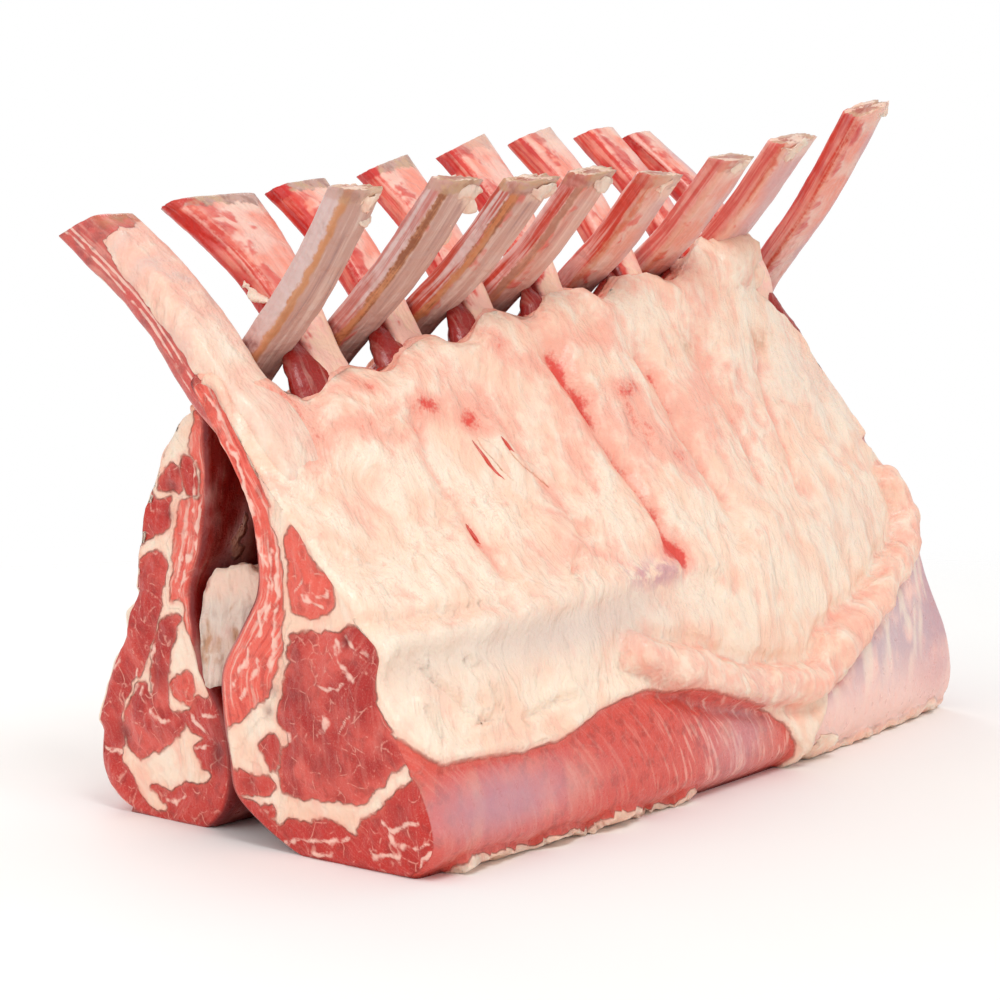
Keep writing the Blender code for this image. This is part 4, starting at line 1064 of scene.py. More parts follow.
def makeRibFinish():
    made, board, shader, place = newFinish("ribBone", {
        "Roughness": 0.45, "Specular IOR Level": 0.45, "Subsurface Weight": 0.12,
        "Subsurface Radius": (1.0, 0.4, 0.25), "Subsurface Scale": 0.002, "Coat Roughness": 0.2})
    tone = ribTones
    along, across, face = board.mark("along"), board.mark("across"), board.mark("facing")
    radial, bare, dry, seed = board.mark("radial"), board.mark("bare"), board.mark("dry"), board.mark("seed")
    pale, bloody = board.mark("pale"), board.mark("bloody")
    medium, fine = board.noise(place, 0.3, 3), board.noise(place, 1.2, 2)
    coarse = board.noise(place, 0.1, 2)
    lengthwise = board.node("ShaderNodeCombineXYZ", None, across * 2.6 + seed, face * 1.6, along * 2.2)
    stripes = board.noise(lengthwise, 1.5, 3, 0.6)
    patches = board.noise(
        board.node("ShaderNodeCombineXYZ", None, across * 0.9 + seed, face * 0.8, along * 11), 0.9, 2, 0.5)

    # the broad face: pink with pale and lilac stripes, or dried, and paler the further it is from the blood
    fresh = board.mix(board.ramp(coarse + (patches - 0.5) * 0.4, 0.4, 0.62), tone["face"], tone["facePale"])
    fresh = board.mix(board.ramp(stripes + across * 0.08, 0.48, 0.7) * 0.45, fresh, tone["facePale"])
    fresh = board.mix(board.ramp(stripes, 0.44, 0.28) * 0.25, fresh, tone["side"])
    fresh = board.mix(
        board.ramp(across * 0.5 + pale + (patches - 0.5) * 0.9, 0.35, 0.8) * 0.75, fresh, tone["lilac"])
    old = board.mix(board.ramp(stripes, 0.46, 0.68) * 0.7, tone["dryFace"], tone["dryPale"])
    old = board.mix(board.ramp(stripes, 0.44, 0.3) * 0.6, old, tone["dryGrey"])
    bone = board.mix(dry, fresh, old)
    clots = board.noise(board.warp(place, 0.15, 4.0), 0.2, 2, 0.6)
    flow = bloody + (patches - 0.5) * 1.2 + (clots - 0.5) * 2.4 - across * 0.85
    bone = board.mix(board.ramp(flow, 0.45, 0.8) * (0.85 - dry * 0.3), bone, tone["side"])
    bone = board.mix(board.ramp(flow, 0.85, 1.15) * 0.8, bone, tone["blood"])

    # the side that looks to the near end, and the corner between
    side = board.ramp(0 - across + (medium - 0.5) * 0.12, 0.72, 0.8)
    sideTone = board.mix(board.ramp(stripes, 0.4, 0.6), tone["side"], tone["sidePale"])
    sideTone = board.mix(board.ramp(patches + bloody * 0.3, 0.5, 0.66) * (1 - dry), sideTone, tone["blood"])
    sideOld = board.mix(board.ramp(stripes, 0.4, 0.62), tone["drySide"], tone["greyAndLitSide"])
    # on the ribs that this mark picks, the whole side is painted pale greyish lilac, lighter than the face,
    # as painted light on it
    sideOld = board.mix(board.mark("greyAndLitSide"), sideOld, tone["greyAndLitSide"])
    bone = board.mix(side, bone, board.mix(dry, sideTone, sideOld))
    corner = bellOf(board, (across + 0.74 + (medium - 0.5) * 0.3) / 0.15) * board.ramp(face, 0.0, 0.3)
    rust = board.ramp(corner * (0.5 + patches) + (fine - 0.5) * 0.5, 0.25, 0.75) * dry
    bone = board.mix(rust * 0.85, bone, tone["rust"])
    dark = (
        board.ramp(stripes + (patches - 0.5) * 0.4 + (fine - 0.5) * 0.2, 0.44, 0.62) * board.mark("rusty"))
    bone = board.mix(rust * dark, bone, tone["brown"])
    bone = board.mix(
        corner * (1 - dry) * board.ramp(stripes + fine * 0.3, 0.55, 0.75) * 0.7, bone, tone["facePale"])

    # wet at the foot, where it comes out of the meat
    low = board.ramp(bare + (medium - 0.5) * 14 + across * 9, 10, -3)
    bone = board.mix(low * (0.75 - dry * 0.4), bone, board.mix(dry, tone["blood"], tone["drySide"]))
    wet = board.ramp(low + (fine - 0.5) * 0.6 - board.ramp(across, -0.8, -0.3) * 0.8, 0.6, 1.0)
    bone = board.mix(wet * 0.85, bone, tone["darkBlood"])

    # the tip: torn film round it, and the sawn face with its marrow
    tip = board.ramp(along + (patches - 0.5) * 0.12 + (fine - 0.5) * 0.03, 0.925, 0.965)
    bone = board.mix(tip * board.ramp(across, -0.6, 0.3) * (0.45 + dry * 0.4), bone, tone["tornFat"])
    rim = board.ramp(along + (fine - 0.5) * 0.02 + (clots - 0.5) * 0.05, 0.958, 0.97) * board.mark("banded")
    rimTone = board.mix(board.ramp(patches + (medium - 0.5), 0.4, 0.6), tone["sawn"], tone["dryFace"])
    rimTone = board.mix(board.ramp(clots + (medium - 0.5) * 0.8, 0.5, 0.7) * 0.5, rimTone, tone["brown"])
    rimTone = board.mix(
        board.ramp(0 - across + (clots - 0.5), 0.6, 0.8) * (1 - dry), rimTone, tone["blood"])
    bone = board.mix(rim, bone, rimTone)
    sawn = board.ramp(radial, 0.97, 0.9) * board.ramp(along, 0.97, 0.99) * 0.8
    sawnTone = board.mix(board.ramp(radial + (fine - 0.5) * 0.5, 0.75, 0.5), tone["sawn"], tone["marrow"])
    sawnTone = board.mix(board.ramp(clots + (fine - 0.5) * 0.4, 0.5, 0.56) * 0.8, sawnTone, tone["tornFat"])
    bone = board.mix(sawn, bone, sawnTone)

    # the fat that climbs a little way up the rib
    climb = board.ramp(
        bare + (medium - 0.5) * 12 + (clots - 0.5) * 22 - across * 5 - board.mark("climb"), 2.5, -2.5)
    climbTone = board.mix(
        board.ramp(clots + (medium - 0.5) * 0.6, 0.42, 0.6), tone["fat"], tone["facePale"])
    bone = board.mix(
        climb * board.ramp(face * board.mark("outer"), -0.3, 0.2) * board.ramp(across, -0.8, -0.5),
        bone, climbTone)
    board.plug(shader.inputs["Base Color"], bone)
    board.plug(shader.inputs["Roughness"], board.ramp(medium, 0.3, 0.7, 0.3, 0.48) + dry * 0.14)
    board.plug(shader.inputs["Coat Weight"], 0.35 - dry * 0.28)
    addBumps(board, shader, (stripes, 0.3), (fine, 0.12), (clots, 1.2), (coarse, 0.4))
    return made


ribForm = {
    "sides": 56, "rings": 120, "fill": 4, "squareness": 4.6, "narrowFoot": 0.86, "flare": 1.5,
    "relief": 0.16, "ridges": 0.2, "ragged": 1.5, "sawnShare": 0.2, "inset": 2.05, "slant": 0.30,
}


def makeRibTree():
    # bends a fine bar along the path that it gets, flares it to its tip and saws the tip off level
    tree = bpy.data.node_groups.new("ribAlongPath", "GeometryNodeTree")
    floats = ("Width", "Tip Width", "Thickness", "Free From", "Cut Slope", "Cut Tilt", "Belly", "Seed",
              "Ragged")
    kinds = [("Path", "NodeSocketGeometry"), *((name, "NodeSocketFloat") for name in floats)]
    for name, kind in [*kinds, ("Finish", "NodeSocketMaterial")]:
        tree.interface.new_socket(name=name, in_out="INPUT", socket_type=kind)
    tree.interface.new_socket(name="Rib", in_out="OUTPUT", socket_type="NodeSocketGeometry")
    board = Board(tree)
    given = tree.nodes.new("NodeGroupInput")

    def asked(name):
        return Wire(board, given.outputs[name])

    curve = board.node("GeometryNodeMeshToCurve", None, asked("Path"))
    bar = board.node(
        "GeometryNodeMeshCylinder", {"fill_type": "TRIANGLE_FAN"}, Vertices=ribForm["sides"],
        Side_Segments=ribForm["rings"], Fill_Segments=ribForm["fill"], Radius=1.0, Depth=1.0)
    spot = board.node("GeometryNodeInputPosition")
    x, y, z = (board.node("ShaderNodeSeparateXYZ", None, spot, output=k) for k in range(3))
    along = z + 0.5
    radial = (x * x + y * y) ** 0.5
    cosine, sine = x / radial.most(1e-4), y / radial.most(1e-4)
    power = ribForm["squareness"]
    square = (cosine.size() ** power + sine.size() ** power).most(1e-4) ** (-1 / power)
    free = ((along - asked("Free From")) / (1 - asked("Free From"))).most(0.0).least(1.0)
    flare = free ** ribForm["flare"]
    body = asked("Width") * (ribForm["narrowFoot"] + (1 - ribForm["narrowFoot"]) * (along * 2).least(1.0))
    belly = 1 + asked("Belly") * board.node("ShaderNodeMath", {"operation": "SINE"}, free * math.pi)
    halfWidth = (body * (1 - flare) + asked("Tip Width") * flare) * belly * 0.5
    halfThick = asked("Thickness") * 0.5

    centre, ahead = (
        board.node(
            "GeometryNodeSampleCurve", {"mode": "FACTOR", "use_all_curves": True},
            Curves=curve, Factor=along, output=k)
        for k in (1, 2))
    lean = board.node("ShaderNodeSeparateXYZ", None, ahead, output=0)
    across = board.vector("NORMALIZE", board.vector("SUBTRACT", (1, 0, 0), scaled(board, ahead, lean)))
    through = board.vector("CROSS_PRODUCT", ahead, across)

    # ridges that run along the bone, a knobbly relief and a ragged end
    roundIt = board.node(
        "ShaderNodeCombineXYZ", None, cosine * 1.4 + asked("Seed"), sine * 1.4, along * 1.6)
    ridges = board.noise(roundIt, 1.5, 3) - 0.5
    knobs = board.noise(
        board.node("ShaderNodeCombineXYZ", None, cosine + asked("Seed") * 3, sine, along * 7), 1.3, 3) - 0.5
    swell = 1 + ridges * ribForm["ridges"] + knobs * ribForm["relief"]
    aside = board.vector(
        "ADD", scaled(board, across, radial * square * cosine * halfWidth * swell),
        scaled(board, through, radial * square * sine * halfThick * swell))
    sawLine = board.node("ShaderNodeCombineXYZ", None, asked("Cut Slope"), asked("Cut Tilt"), 1.0)
    sheared = (
        board.vector("DOT_PRODUCT", aside, sawLine, output=1)
        / board.vector("DOT_PRODUCT", ahead, sawLine, output=1))
    nearTip = ((along - (1 - ribForm["sawnShare"])) / ribForm["sawnShare"]).most(0.0).least(1.0)
    tear = board.noise(
        board.node("ShaderNodeCombineXYZ", None, cosine * 2.2 + asked("Seed"), sine * 2.2, 0.0), 1.6,
        4) - 0.55
    slide = tear * asked("Ragged") * radial * board.ramp(along, 0.93, 1.0) - sheared * nearTip
    moved = board.vector("ADD", board.vector("ADD", centre, aside), scaled(board, ahead, slide))

    shape = bar
    for name, value in (("along", along), ("radial", radial), ("across", cosine), ("facing", 0 - sine)):
        shape = board.node(
            "GeometryNodeStoreNamedAttribute", {"data_type": "FLOAT", "domain": "POINT"},
            Geometry=shape, Name=name, Value=value)
    shape = board.node("GeometryNodeSetPosition", None, Geometry=shape, Position=moved)
    shape = board.node("GeometryNodeSetShadeSmooth", None, Geometry=shape, Shade_Smooth=True)
    shape = board.node("GeometryNodeRealizeInstances", None, shape)
    shape = board.node("GeometryNodeSetMaterial", None, Geometry=shape, Material=asked("Finish"))
    tree.links.new(shape.socket, tree.nodes.new("NodeGroupOutput").inputs[0])
    return tree


def scaled(board, vector, factor):
    made = board.vector("SCALE", vector)
    board.plug(made.socket.node.inputs["Scale"], factor)
    return made


def ribPath(rack, number):
    # up the rack's inner face to where the rib leaves it, then in a shallow bow to its tip
    form = ribs[rack.name]
    leaves, tip = (np.array(form[end][number], float) for end in ("leaves", "tips"))
    leavesLevel = rack.levelAt(rack.alongAt(leaves[0], rack.levels - 1), leaves[2], 0)
    inset = form["thickness"][number] / 2 - ribForm["inset"]
    line = []
    for level in np.linspace(form["lowLevel"], leavesLevel - 1, 4):
        x = leaves[0]
        for _ in range(3):
            place = rack.point(rack.alongAt(x, level), [level], [0])[0]
            x = leaves[0] + ribForm["slant"] * (leaves[2] - place[2])
        line.append((x, place[1] + rack.side * inset, place[2]))
    reach = np.linalg.norm(tip - leaves)
    middle = (leaves + tip) / 2 + reach * np.array([0, form["bows"][number] * rack.side, form["rise"]])
    line = np.array([*line, leaves, middle, tip])
    path = catmullRom(line, np.linspace(0, len(line) - 1, 73))
    run = distanceAlong(path)
    leaveShare = run[int(72 * 4 / 6)] / run[-1]
    return path, leaveShare, run[-1]


ribLooks = {  # one number for each rib, from the near end
    "near": {
        "dry": [0, 0.1, 0, 0, 0, 0, 0, 0], "bloody": [0.2, 0.2, 0.1, 0.05, 0.15, 0.2, 0.35, 0.4],
        "pale": [0, 0, -0.1, 0.15, 0.05, 0.1, 0.3, 0.35], "banded": [1, 1, 1, 0.9, 0.4, 0.2, 0, 0],
        "rusty": [0] * 8, "climb": [40, 9, 11, 8, 6, 5, 4, 6],
        "greyAndLitSide": [0] * 8, "ragged": [0.6, 0.8, 0.8, 0.8, 1, 1, 1, 1]},
    "far": {
        "dry": [1, 1, 0.95, 0.7, 0.45, 0.35, 0.25, 0.15],
        "bloody": [-0.6, -0.2, 0, 0.1, -0.05, -0.2, -0.2, 0.1],
        "pale": [0, 0, 0, 0, 0.4, 0.35, 0.7, 0.35], "banded": [0.6, 0.9, 0.9, 0.9, 0.5, 0.4, 0, 0],
        "rusty": [0.2, 0.8, 0.8, 0.9, 0.6, 0.2, 0, 0], "climb": [1] * 8,
        # the greyish side: how far each rib's side is painted pale, as painted light on it
        "greyAndLitSide": [0.9, 0.3, 0, 0, 0, 0.4, 0.5, 0], "ragged": [2, 3, 3, 2.5, 2, 2, 2, 3]},
}


def spread(mesh, name, values):
    attribute = mesh.attributes.new(name, "FLOAT", "POINT")
    attribute.data.foreach_set("value", np.broadcast_to(np.float32(values), len(mesh.vertices)).copy())


def rootRibMarks(mesh, bare):
    # the nearest rib shows the cut side of the rack, so its fat runs on up it: fat outside, lean beside
    across, facing, along = (np.zeros(len(mesh.vertices), np.float32) for _ in range(3))
    for name, values in (("across", across), ("facing", facing), ("along", along)):
        mesh.attributes[name].data.foreach_get("value", values)
    spot = np.zeros(3 * len(mesh.vertices), np.float32)
    mesh.vertices.foreach_get("co", spot)
    spot = spot.reshape(-1, 3)
    broad, small = fieldNoise(spot, (6, 6, 12), 71, 3), fieldNoise(spot, 3, 72, 3)
    reach = 0.02 + 0.5 * ramp(along, 0.8, 0.97) + 0.3 * ramp(-bare, -8, 2)
    red = (
        ramp(-across + 0.1 * broad, 0.66, 0.78)
        * ramp(reach + 0.16 * broad + 0.05 * small - facing, -0.06, 0.06))
    lines = np.maximum(
        bell((facing + 0.12 + 0.05 * broad) / 0.05), bell((facing + 0.36 + 0.06 * broad) / 0.05))
    tip = ramp(along + 0.02 * small, 0.94, 0.97)
    tipRed = (
        ramp(along - 0.035 * across + 0.03 * broad + 0.012 * small, 0.945, 0.965)
        * ramp(-across + 0.5 * broad, -0.6, 0.2))
    high = ramp(along, 0.45, 0.8)
    return marksFor(
        spot, fatEdge=2.5 - 5.5 * np.maximum(red, tipRed), seam=2.4 * lines * red - 1.2 + 0.25 * small,
        lean=0.3, skin=0.1, blush=0.35 + 0.35 * high + 0.4 * broad + 0.8 * tip,
        stain=0.9 * tip * ramp(across, -0.9, -0.5),
        grey=0.15 + 0.5 * high * ramp(broad, -0.1, 0.5),
        deep=0.6 * ramp(small, 0.1, 0.6) * np.maximum(tipRed, 0.4 * red), streaky=0.4,
        cream=0.2 * ramp(-bare, -22, -8), lobed=0.1, frayed=0.3, grainAcross=6 * facing, grainAlong=bare)


def makeRib(rack, number, tree, finish):
    form, looks = ribs[rack.name], ribLooks[rack.name]
    path, leaveShare, length = ribPath(rack, number)
    seed = 3.7 * number + (50 if rack.name == "far" else 0)
    guide = bpy.data.meshes.new("ribPath")
    guide.from_pydata([tuple(p) for p in path], [(i, i + 1) for i in range(len(path) - 1)], [])
    name = f"{rack.name}Rib{number + 1}"
    piece = bpy.data.objects.new(name, guide)
    bpy.context.scene.collection.objects.link(piece)
    modifier = piece.modifiers.new("rib", "NODES")
    modifier.node_group = tree
    isFirst = rack.name == "near" and number == 0
    values = {
        "Width": form["widths"][number], "Tip Width": form["tipWidths"][number],
        "Thickness": form["thickness"][number], "Free From": leaveShare,
        "Cut Slope": form["slopes"][number],
        "Cut Tilt": form["tilt"], "Belly": form["belly"], "Seed": seed, "Ragged": looks["ragged"][number],
        "Finish": meatFinish if isFirst else finish}
    for socket in tree.interface.items_tree:
        if socket.in_out == "INPUT" and socket.name in values:
            value = values[socket.name]
            modifier[socket.identifier] = float(value) if isinstance(value, (int, float)) else value
    bpy.context.view_layer.update()
    mesh = bpy.data.meshes.new_from_object(piece.evaluated_get(bpy.context.evaluated_depsgraph_get()))
    piece.modifiers.remove(modifier)
    piece.data = mesh
    mesh.name = name
    bpy.data.meshes.remove(guide)

    share = np.zeros(len(mesh.vertices), np.float32)
    mesh.attributes["along"].data.foreach_get("value", share)
    bare = (share - leaveShare) * length
    marks = {"bare": bare, "seed": seed, "outer": -rack.side}
    marks.update({
        mark: looks[mark][number]
        for mark in ("dry", "bloody", "pale", "banded", "rusty", "climb", "greyAndLitSide")})
    if isFirst:
        marks = rootRibMarks(mesh, bare)
    for mark, spreadValues in marks.items():
        spread(mesh, mark, spreadValues)
    toMetres(mesh)
    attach(piece, "root")
    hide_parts(f"{rack.name}_rib_{number + 1}")
    return piece


ribFinish = makeRibFinish()
ribTree = makeRibTree()
for rack in rackShapes.values():
    for number in range(len(ribs[rack.name]["leaves"])):
        makeRib(rack, number, ribTree, ribFinish)
print("ribs made")


# The backbone: its sawn vertebrae, as one bar between the racks, clad in film and dried meat.


backbone = {
    "near": [(2.6, 30.5), (4.4, 35), (5.2, 43), (4.1, 50), (0.7, 55), (-5, 56), (-10.2, 54), (-9.6, 49),
             (-6.2, 42), (-1.9, 34)],
    "far": [(1, 33.5), (2.6, 38), (5.2, 46), (6.4, 54), (3.6, 60), (-2, 62), (-8, 60), (-7.6, 55), (-4, 47),
            (-1.2, 39)],
    "start": 0, "length": 225, "slant": 0.16, "vertebra": 28, "swell": 0.07,
    "around": 96, "rings": 260, "fill": 8, "trim": 0.25,
}


def makeBackbone():
    near, far = (smoothLoop(backbone[end], backbone["around"]) for end in ("near", "far"))
    rings, alongs, radials = [], [], []
    inner = np.linspace(0, 1, backbone["fill"] + 1)[1:]
    stations = [(0.0, r) for r in inner] + [(a, 1.0) for a in np.linspace(0, 1, backbone["rings"])[1:-1]]
    stations += [(1.0, r) for r in inner[::-1]]
    for along, radial in stations:
        loop = near + (far - near) * along
        middle = loop.mean(0)
        swell = 1 - backbone["swell"] * (
            1 - math.cos(2 * math.pi * along * backbone["length"] / backbone["vertebra"]))
        loop = middle + (loop - middle) * swell * radial
        x = backbone["start"] + backbone["length"] * along - backbone["slant"] * loop[:, 0]
        rings.append(np.column_stack([x, loop]))
        alongs.append(np.full(len(loop), along))
        radials.append(np.full(len(loop), radial))
    count, around = len(rings), backbone["around"]
    points, along, radial = np.vstack(rings), np.concatenate(alongs), np.concatenate(radials)
    faces = [
        (k * around + i, k * around + (i + 1) % around, (k + 1) * around + (i + 1) % around,
         (k + 1) * around + i)
        for k in range(count - 1) for i in range(around)]
    centres = [rings[0].mean(0), rings[-1].mean(0)]
    faces += [(len(points), (i + 1) % around, i) for i in range(around)]
    last = (count - 1) * around
    faces += [(len(points) + 1, last + i, last + (i + 1) % around) for i in range(around)]
    points = np.vstack([points, centres])
    along, radial = np.append(along, [0, 1]), np.append(radial, [0, 0])

    middle = near.mean(0) + (far.mean(0) - near.mean(0)) * along[:, None]
    away = points[:, 1:] - middle
    ridged = 1 - 2.2 * np.abs(fieldNoise(points, (3.2, 3.2, 14), 82, 2))
    rough = 1.1 * fieldNoise(points, (5, 4, 7), 81, 3) + 0.35 * ridged
    sideways = away / np.maximum(np.linalg.norm(away, axis=1), 1e-6)[:, None]
    points[:, 1:] += sideways * (rough * (radial >= 1) - backbone["trim"])[:, None]
    points[:, 0] -= np.where(along <= 0, 0.8 * fieldNoise(points, (3, 3, 9), 83, 3) + 0.35 * ridged, 0)
    broad, small = fieldNoise(points, (9, 7, 9), 84, 3), fieldNoise(points, (2.2, 2.2, 8), 85, 3)
    top = ramp(points[:, 2] + 1.5 * broad, 47, 52)
    dry, bloody = ramp(small + 0.4 * broad, 0.05, 0.6), ramp(broad, 0.3, 0.7)
    stain = 0.75 * dry + 0.25 * bell((points[:, 2] - 40) / 6)
    return addMesh("backboneFilm", points, faces, meatFinish, marksFor(
        points, fatEdge=3, lean=0.3, blush=0.3 + 0.4 * top + 1.2 * bloody, stain=stain * (1 - top),
        grey=0.75 * (1 - top), deep=0.7 * ramp(-broad, 0.2, 0.6) * (1 - top),
        cream=0.3 + 0.2 * top, lobed=0.2))


spine = makeBackbone()
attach(spine, "root")
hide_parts("backbone")
print("backbone made")


# Torn flaps, cuts, strands of fat and the meat left at the ribs' feet: each is a closed strip
# along a path, as wide as it says and thin at both ends.


tagForm = {"rings": 30, "around": 14}
tagLooks = {  # what the finish is told: below 0 is muscle, above 0 is fat
    "red": {"fatEdge": -3, "lean": 0.25, "streaky": 0.3},
    "meat": {"fatEdge": -3, "lean": 0.5, "deep": 0.6, "streaky": 0.7, "specks": 0.3},
    "flap": {"fatEdge": 3, "blush": 0.45},
    "cream": {"fatEdge": 3, "blush": 0.3, "cream": 0.15, "grey": 0.3},
    "lump": {"fatEdge": 3, "blush": 0.3, "lobed": 0.4},
}
outerTags = [  # on the near rack: look, (x, z) along it, widths along it, thickness, how far it stands out
    ("red", [(45.2, 80.4), (46.6, 76), (48.9, 72.1)], [0, 0.8, 1.0, 0.7, 0], 0.5, 0.05),
    ("flap", [(47.2, 81), (49.6, 77), (50.8, 72)], [0.5, 2.6, 3.2, 2, 0.3], 0.8, 0.1),
    ("red", [(53.1, 81), (55, 77), (58.9, 74.4)], [0, 0.9, 1.1, 0.6, 0], 0.6, 0.1),
    ("flap", [(53.9, 78), (56.8, 75), (60.4, 73.6), (61.6, 70)], [0.5, 2.4, 3.0, 2, 0.3], 0.9, 0.15),
    ("red", [(33.4, 64), (34.2, 60)], [0, 0.9, 0.8, 0], 0.5, 0.05),
]
tipTags = [
    # at the ribs' tips: rack, rib, look, places (across in half widths, along in mm from the tip), widths
    ("far", 0, "flap", [(-0.1, -3), (0.5, -2.6), (1.0, -3.2), (1.5, -1.8)], [1, 4.6, 4.2, 0.4]),
    ("far", 0, "cream", [(0.4, -7), (0.9, -6.4), (1.25, -8)], [1, 2.6, 0.4]),
    ("far", 1, "cream", [(-0.2, -3), (0.6, -3.4), (1.4, -6), (2.2, -6.6)], [2, 5.5, 5.5, 0.4]),
    ("far", 1, "flap", [(0.5, -10), (1.1, -11), (1.3, -15), (1.1, -21)], [0.5, 2.4, 1.8, 0.2]),
    ("far", 2, "cream", [(-0.2, -3), (0.6, -3), (1.4, -5), (2.0, -5)], [2, 5, 4.4, 0.4]),
    ("far", 3, "cream", [(-0.3, -2.6), (0.5, -3), (1.2, -4.4), (1.7, -4)], [2, 4.6, 4, 0.4]),
    ("far", 4, "flap", [(-0.5, -4), (0.4, -3), (1.2, -4.4)], [1, 6, 2]),
    ("far", 5, "cream", [(-0.4, -2.6), (0.4, -2.4), (1.1, -4)], [1, 4.4, 1.4]),
    ("far", 6, "cream", [(-0.8, -3.4), (0, -2.6), (1.0, -3.6), (1.2, -7)], [3, 7, 6.4, 2]),
    ("far", 7, "cream", [(0.2, -2.4), (0.9, -2.6), (1.6, -1.4)], [1.4, 3.6, 0.4]),
    ("near", 0, "flap", [(0.6, -24), (1.0, -28), (1.22, -34)], [0.4, 3.6, 0.3]),
    ("near", 1, "cream", [(-1.0, -27), (-1.15, -31), (-0.9, -36)], [0.4, 3.0, 0.4]),
]
freeTags = [
    # look, path, widths along it, thickness and grain: the untrimmed lump, and the last rib's meat
    ("lump", [(150, -13, 108), (160, -14, 117), (168, -14.5, 124.5), (172, -15, 129)],
     [8, 16, 18, 17, 11, 0.3], 14, 1.1),
    ("lump", [(160, -13.5, 112), (171, -14.2, 118), (179, -14.6, 119)], [8, 12, 10, 0.3], 10, 0.8),
    ("meat", [(177, -13, 117), (183, -14.2, 114.6), (190, -16.3, 107.4), (197.6, -20, 98.6)],
     [0.4, 5, 5.4, 4, 0.4], 3.6, 0.3),
]
feet = {  # the meat at the near ribs' left: how far up each rib it goes, in mm, and how wide it is
    "ups": [0, 19, 16, 15, 12, 10, 8, 0], "down": 13, "width": 9.5, "thickness": 5, "inwards": 0.8,
}


def addTag(made, look, path, widths, thickness, up, grain=0.4):
    # adds one strip's points, faces and marks to what has been made so far
    rings, around = tagForm["rings"], tagForm["around"]
    path = smoothLine(path, rings)
    share = np.linspace(0, 1, rings)
    up = np.broadcast_to(np.asarray(up, float), path.shape)
    width = np.maximum(np.interp(share, np.linspace(0, 1, len(widths)), widths), 0.12)
    thick = np.maximum(thickness * np.minimum(1, width / max(widths) * 1.6), 0.12)
    tangent = np.gradient(path, axis=0)
    tangent /= np.linalg.norm(tangent, axis=1)[:, None]
    side = np.cross(tangent, up)
    side /= np.linalg.norm(side, axis=1)[:, None]
    lift = np.cross(side, tangent)
    angles = np.arange(around) * 2 * math.pi / around
    ring = (
        path[:, None] + side[:, None] * (np.cos(angles) * width[:, None] / 2)[..., None]
        + lift[:, None] * (np.sin(angles) * thick[:, None] / 2)[..., None])
    points = ring.reshape(-1, 3)
    rough = np.column_stack([fieldNoise(points, 3.2, seed, 3) for seed in (91, 92, 93)])
    points = points + grain * rough * np.repeat(np.minimum(1, width / 2), around)[:, None]
    first = len(made["points"])
    ends = [points[:around].mean(0), points[-around:].mean(0)]
    made["points"].extend([*points, *ends])
    last = first + (rings - 1) * around
    for k in range(rings - 1):
        for i in range(around):
            j = (i + 1) % around
            low, high = first + k * around, first + (k + 1) * around
            made["faces"].append((low + i, low + j, high + j, high + i))
    for i in range(around):
        j = (i + 1) % around
        made["faces"].append((first + len(points), first + j, first + i))
        made["faces"].append((first + len(points) + 1, last + i, last + j))
    for name, value in {**usualMarks, "frayed": 0.3, **tagLooks[look]}.items():
        made["marks"].setdefault(name, []).extend([value] * (len(points) + 2))
    made["marks"].setdefault("grainAcross", []).extend([*points[:, 0], 0, 0])
    made["marks"].setdefault("grainAlong", []).extend([*points[:, 2], 0, 0])


def onOuter(rack, places):
    # the outer side's points at those (x, z), from the nearest of its vertices
    found = []
    for place in np.asarray(places, float):
        away = np.hypot(*(rack.skin[:, [0, 2]] - place).T)
        nearest = np.argsort(away)[:4]
        weights = 1 / (away[nearest] + 0.05)
        found.append((place[0], (weights @ rack.skin[nearest, 1]) / weights.sum(), place[1]))
    return np.array(found)


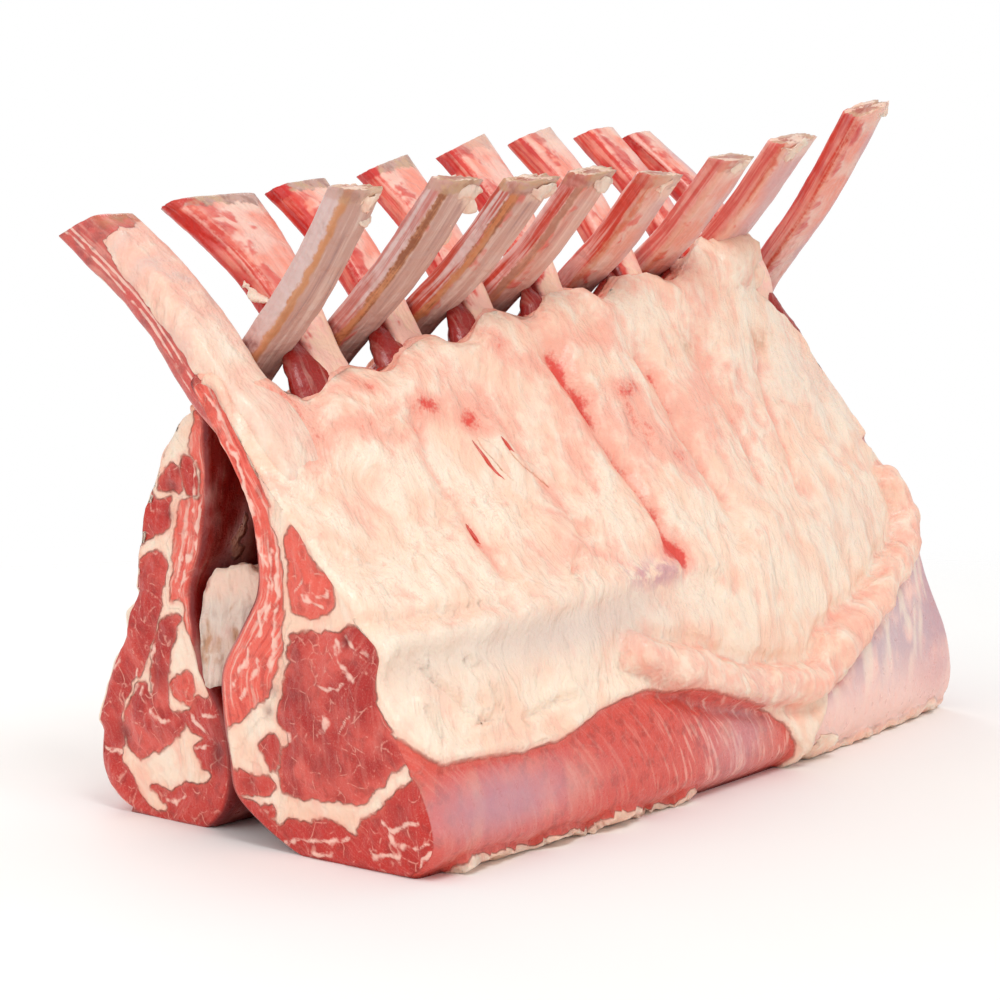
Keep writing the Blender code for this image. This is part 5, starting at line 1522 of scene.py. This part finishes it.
def ribSpot(rack, number, across, back):
    # a place on the side of a rib that the camera sees, so far across it and back from its tip
    form = ribs[rack.name]
    path, leaveShare, _ = ribPath(rack, number)
    run = distanceAlong(path)
    at = run[-1] + back
    centre = np.array([np.interp(at, run, path[:, k]) for k in range(3)])
    before = np.array([np.interp(at - 2, run, path[:, k]) for k in range(3)])
    ahead = (centre - before) / np.linalg.norm(centre - before)
    aside = np.array([1.0, 0, 0]) - ahead * ahead[0]
    aside /= np.linalg.norm(aside)
    through = np.cross(ahead, aside)
    free = np.clip((at / run[-1] - leaveShare) / (1 - leaveShare), 0, 1)
    flare = free ** ribForm["flare"]
    halfWidth = (form["widths"][number] * (1 - flare) + form["tipWidths"][number] * flare) / 2
    halfWidth *= 1 + form["belly"] * math.sin(math.pi * free)
    inside = min(1.0, abs(across))
    halfThick = form["thickness"][number] / 2 * (1 - inside**3.4) ** (1 / 3.4)
    slope, tilt = form["slopes"][number], form["tilt"]
    cut = np.array([slope, tilt, 1.0])
    offset = aside * across * halfWidth - through * halfThick
    slide = -(offset @ cut) / (ahead @ cut) * np.clip(1 + back / (0.2 * run[-1]), 0, 1)
    return centre + offset + ahead * slide, -through


def makeTags():
    made = {"points": [], "faces": [], "marks": {}}
    near = rackShapes["near"]
    for look, places, widths, thickness, proud in outerTags:
        places = smoothLine(places, 9)
        spots = onOuter(near, places)
        above, below = onOuter(near, places + (0, 1.5)), onOuter(near, places - (0, 1.5))
        before, after = onOuter(near, places - (1.5, 0)), onOuter(near, places + (1.5, 0))
        up = np.cross(above - below, after - before)
        up *= -np.sign(up[:, 1:2])
        up = up / np.linalg.norm(up, axis=1)[:, None]
        up = smoothLine(up, tagForm["rings"])
        addTag(made, look, spots + proud * smoothLine(up, 9), widths, thickness, up, 0.3)
    for rackName, number, look, places, widths in tipTags:
        rack = rackShapes[rackName]
        spots, ups = zip(*(ribSpot(rack, number, across, back) for across, back in places))
        addTag(made, look, np.array(spots), widths, 0.8, smoothLine(np.array(ups), tagForm["rings"]), 1.3)
    for look, path, widths, thickness, grain in freeTags:
        addTag(made, look, path, widths, thickness, (0.3, -1, 0.2), grain)
    for number, upTo in enumerate(feet["ups"]):
        if upTo:
            path, leaveShare, length = ribPath(near, number)
            run = distanceAlong(path)
            at = np.linspace(leaveShare * length - feet["down"], leaveShare * length + upTo, 9)
            line = np.column_stack([np.interp(at, run, path[:, k]) for k in range(3)])
            line[:, 0] -= ribs["near"]["widths"][number] / 2 * feet["inwards"] * np.linspace(1.5, 0.85, 9)
            line[:, 1] -= np.linspace(1.5, 0, 9)
            widths = feet["width"] * np.array([1.7, 1.6, 1.3, 0.9, 0.55, 0.3, 0.05])
            addTag(made, "meat", line, widths, feet["thickness"], (0, -1, 0.2), 0.5)
    marks = {name: np.array(values, float) for name, values in made["marks"].items()}
    return addMesh("tornFlaps", made["points"], made["faces"], meatFinish, marks)


tags = makeTags()
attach(tags, "root")
print("flaps and strands made")
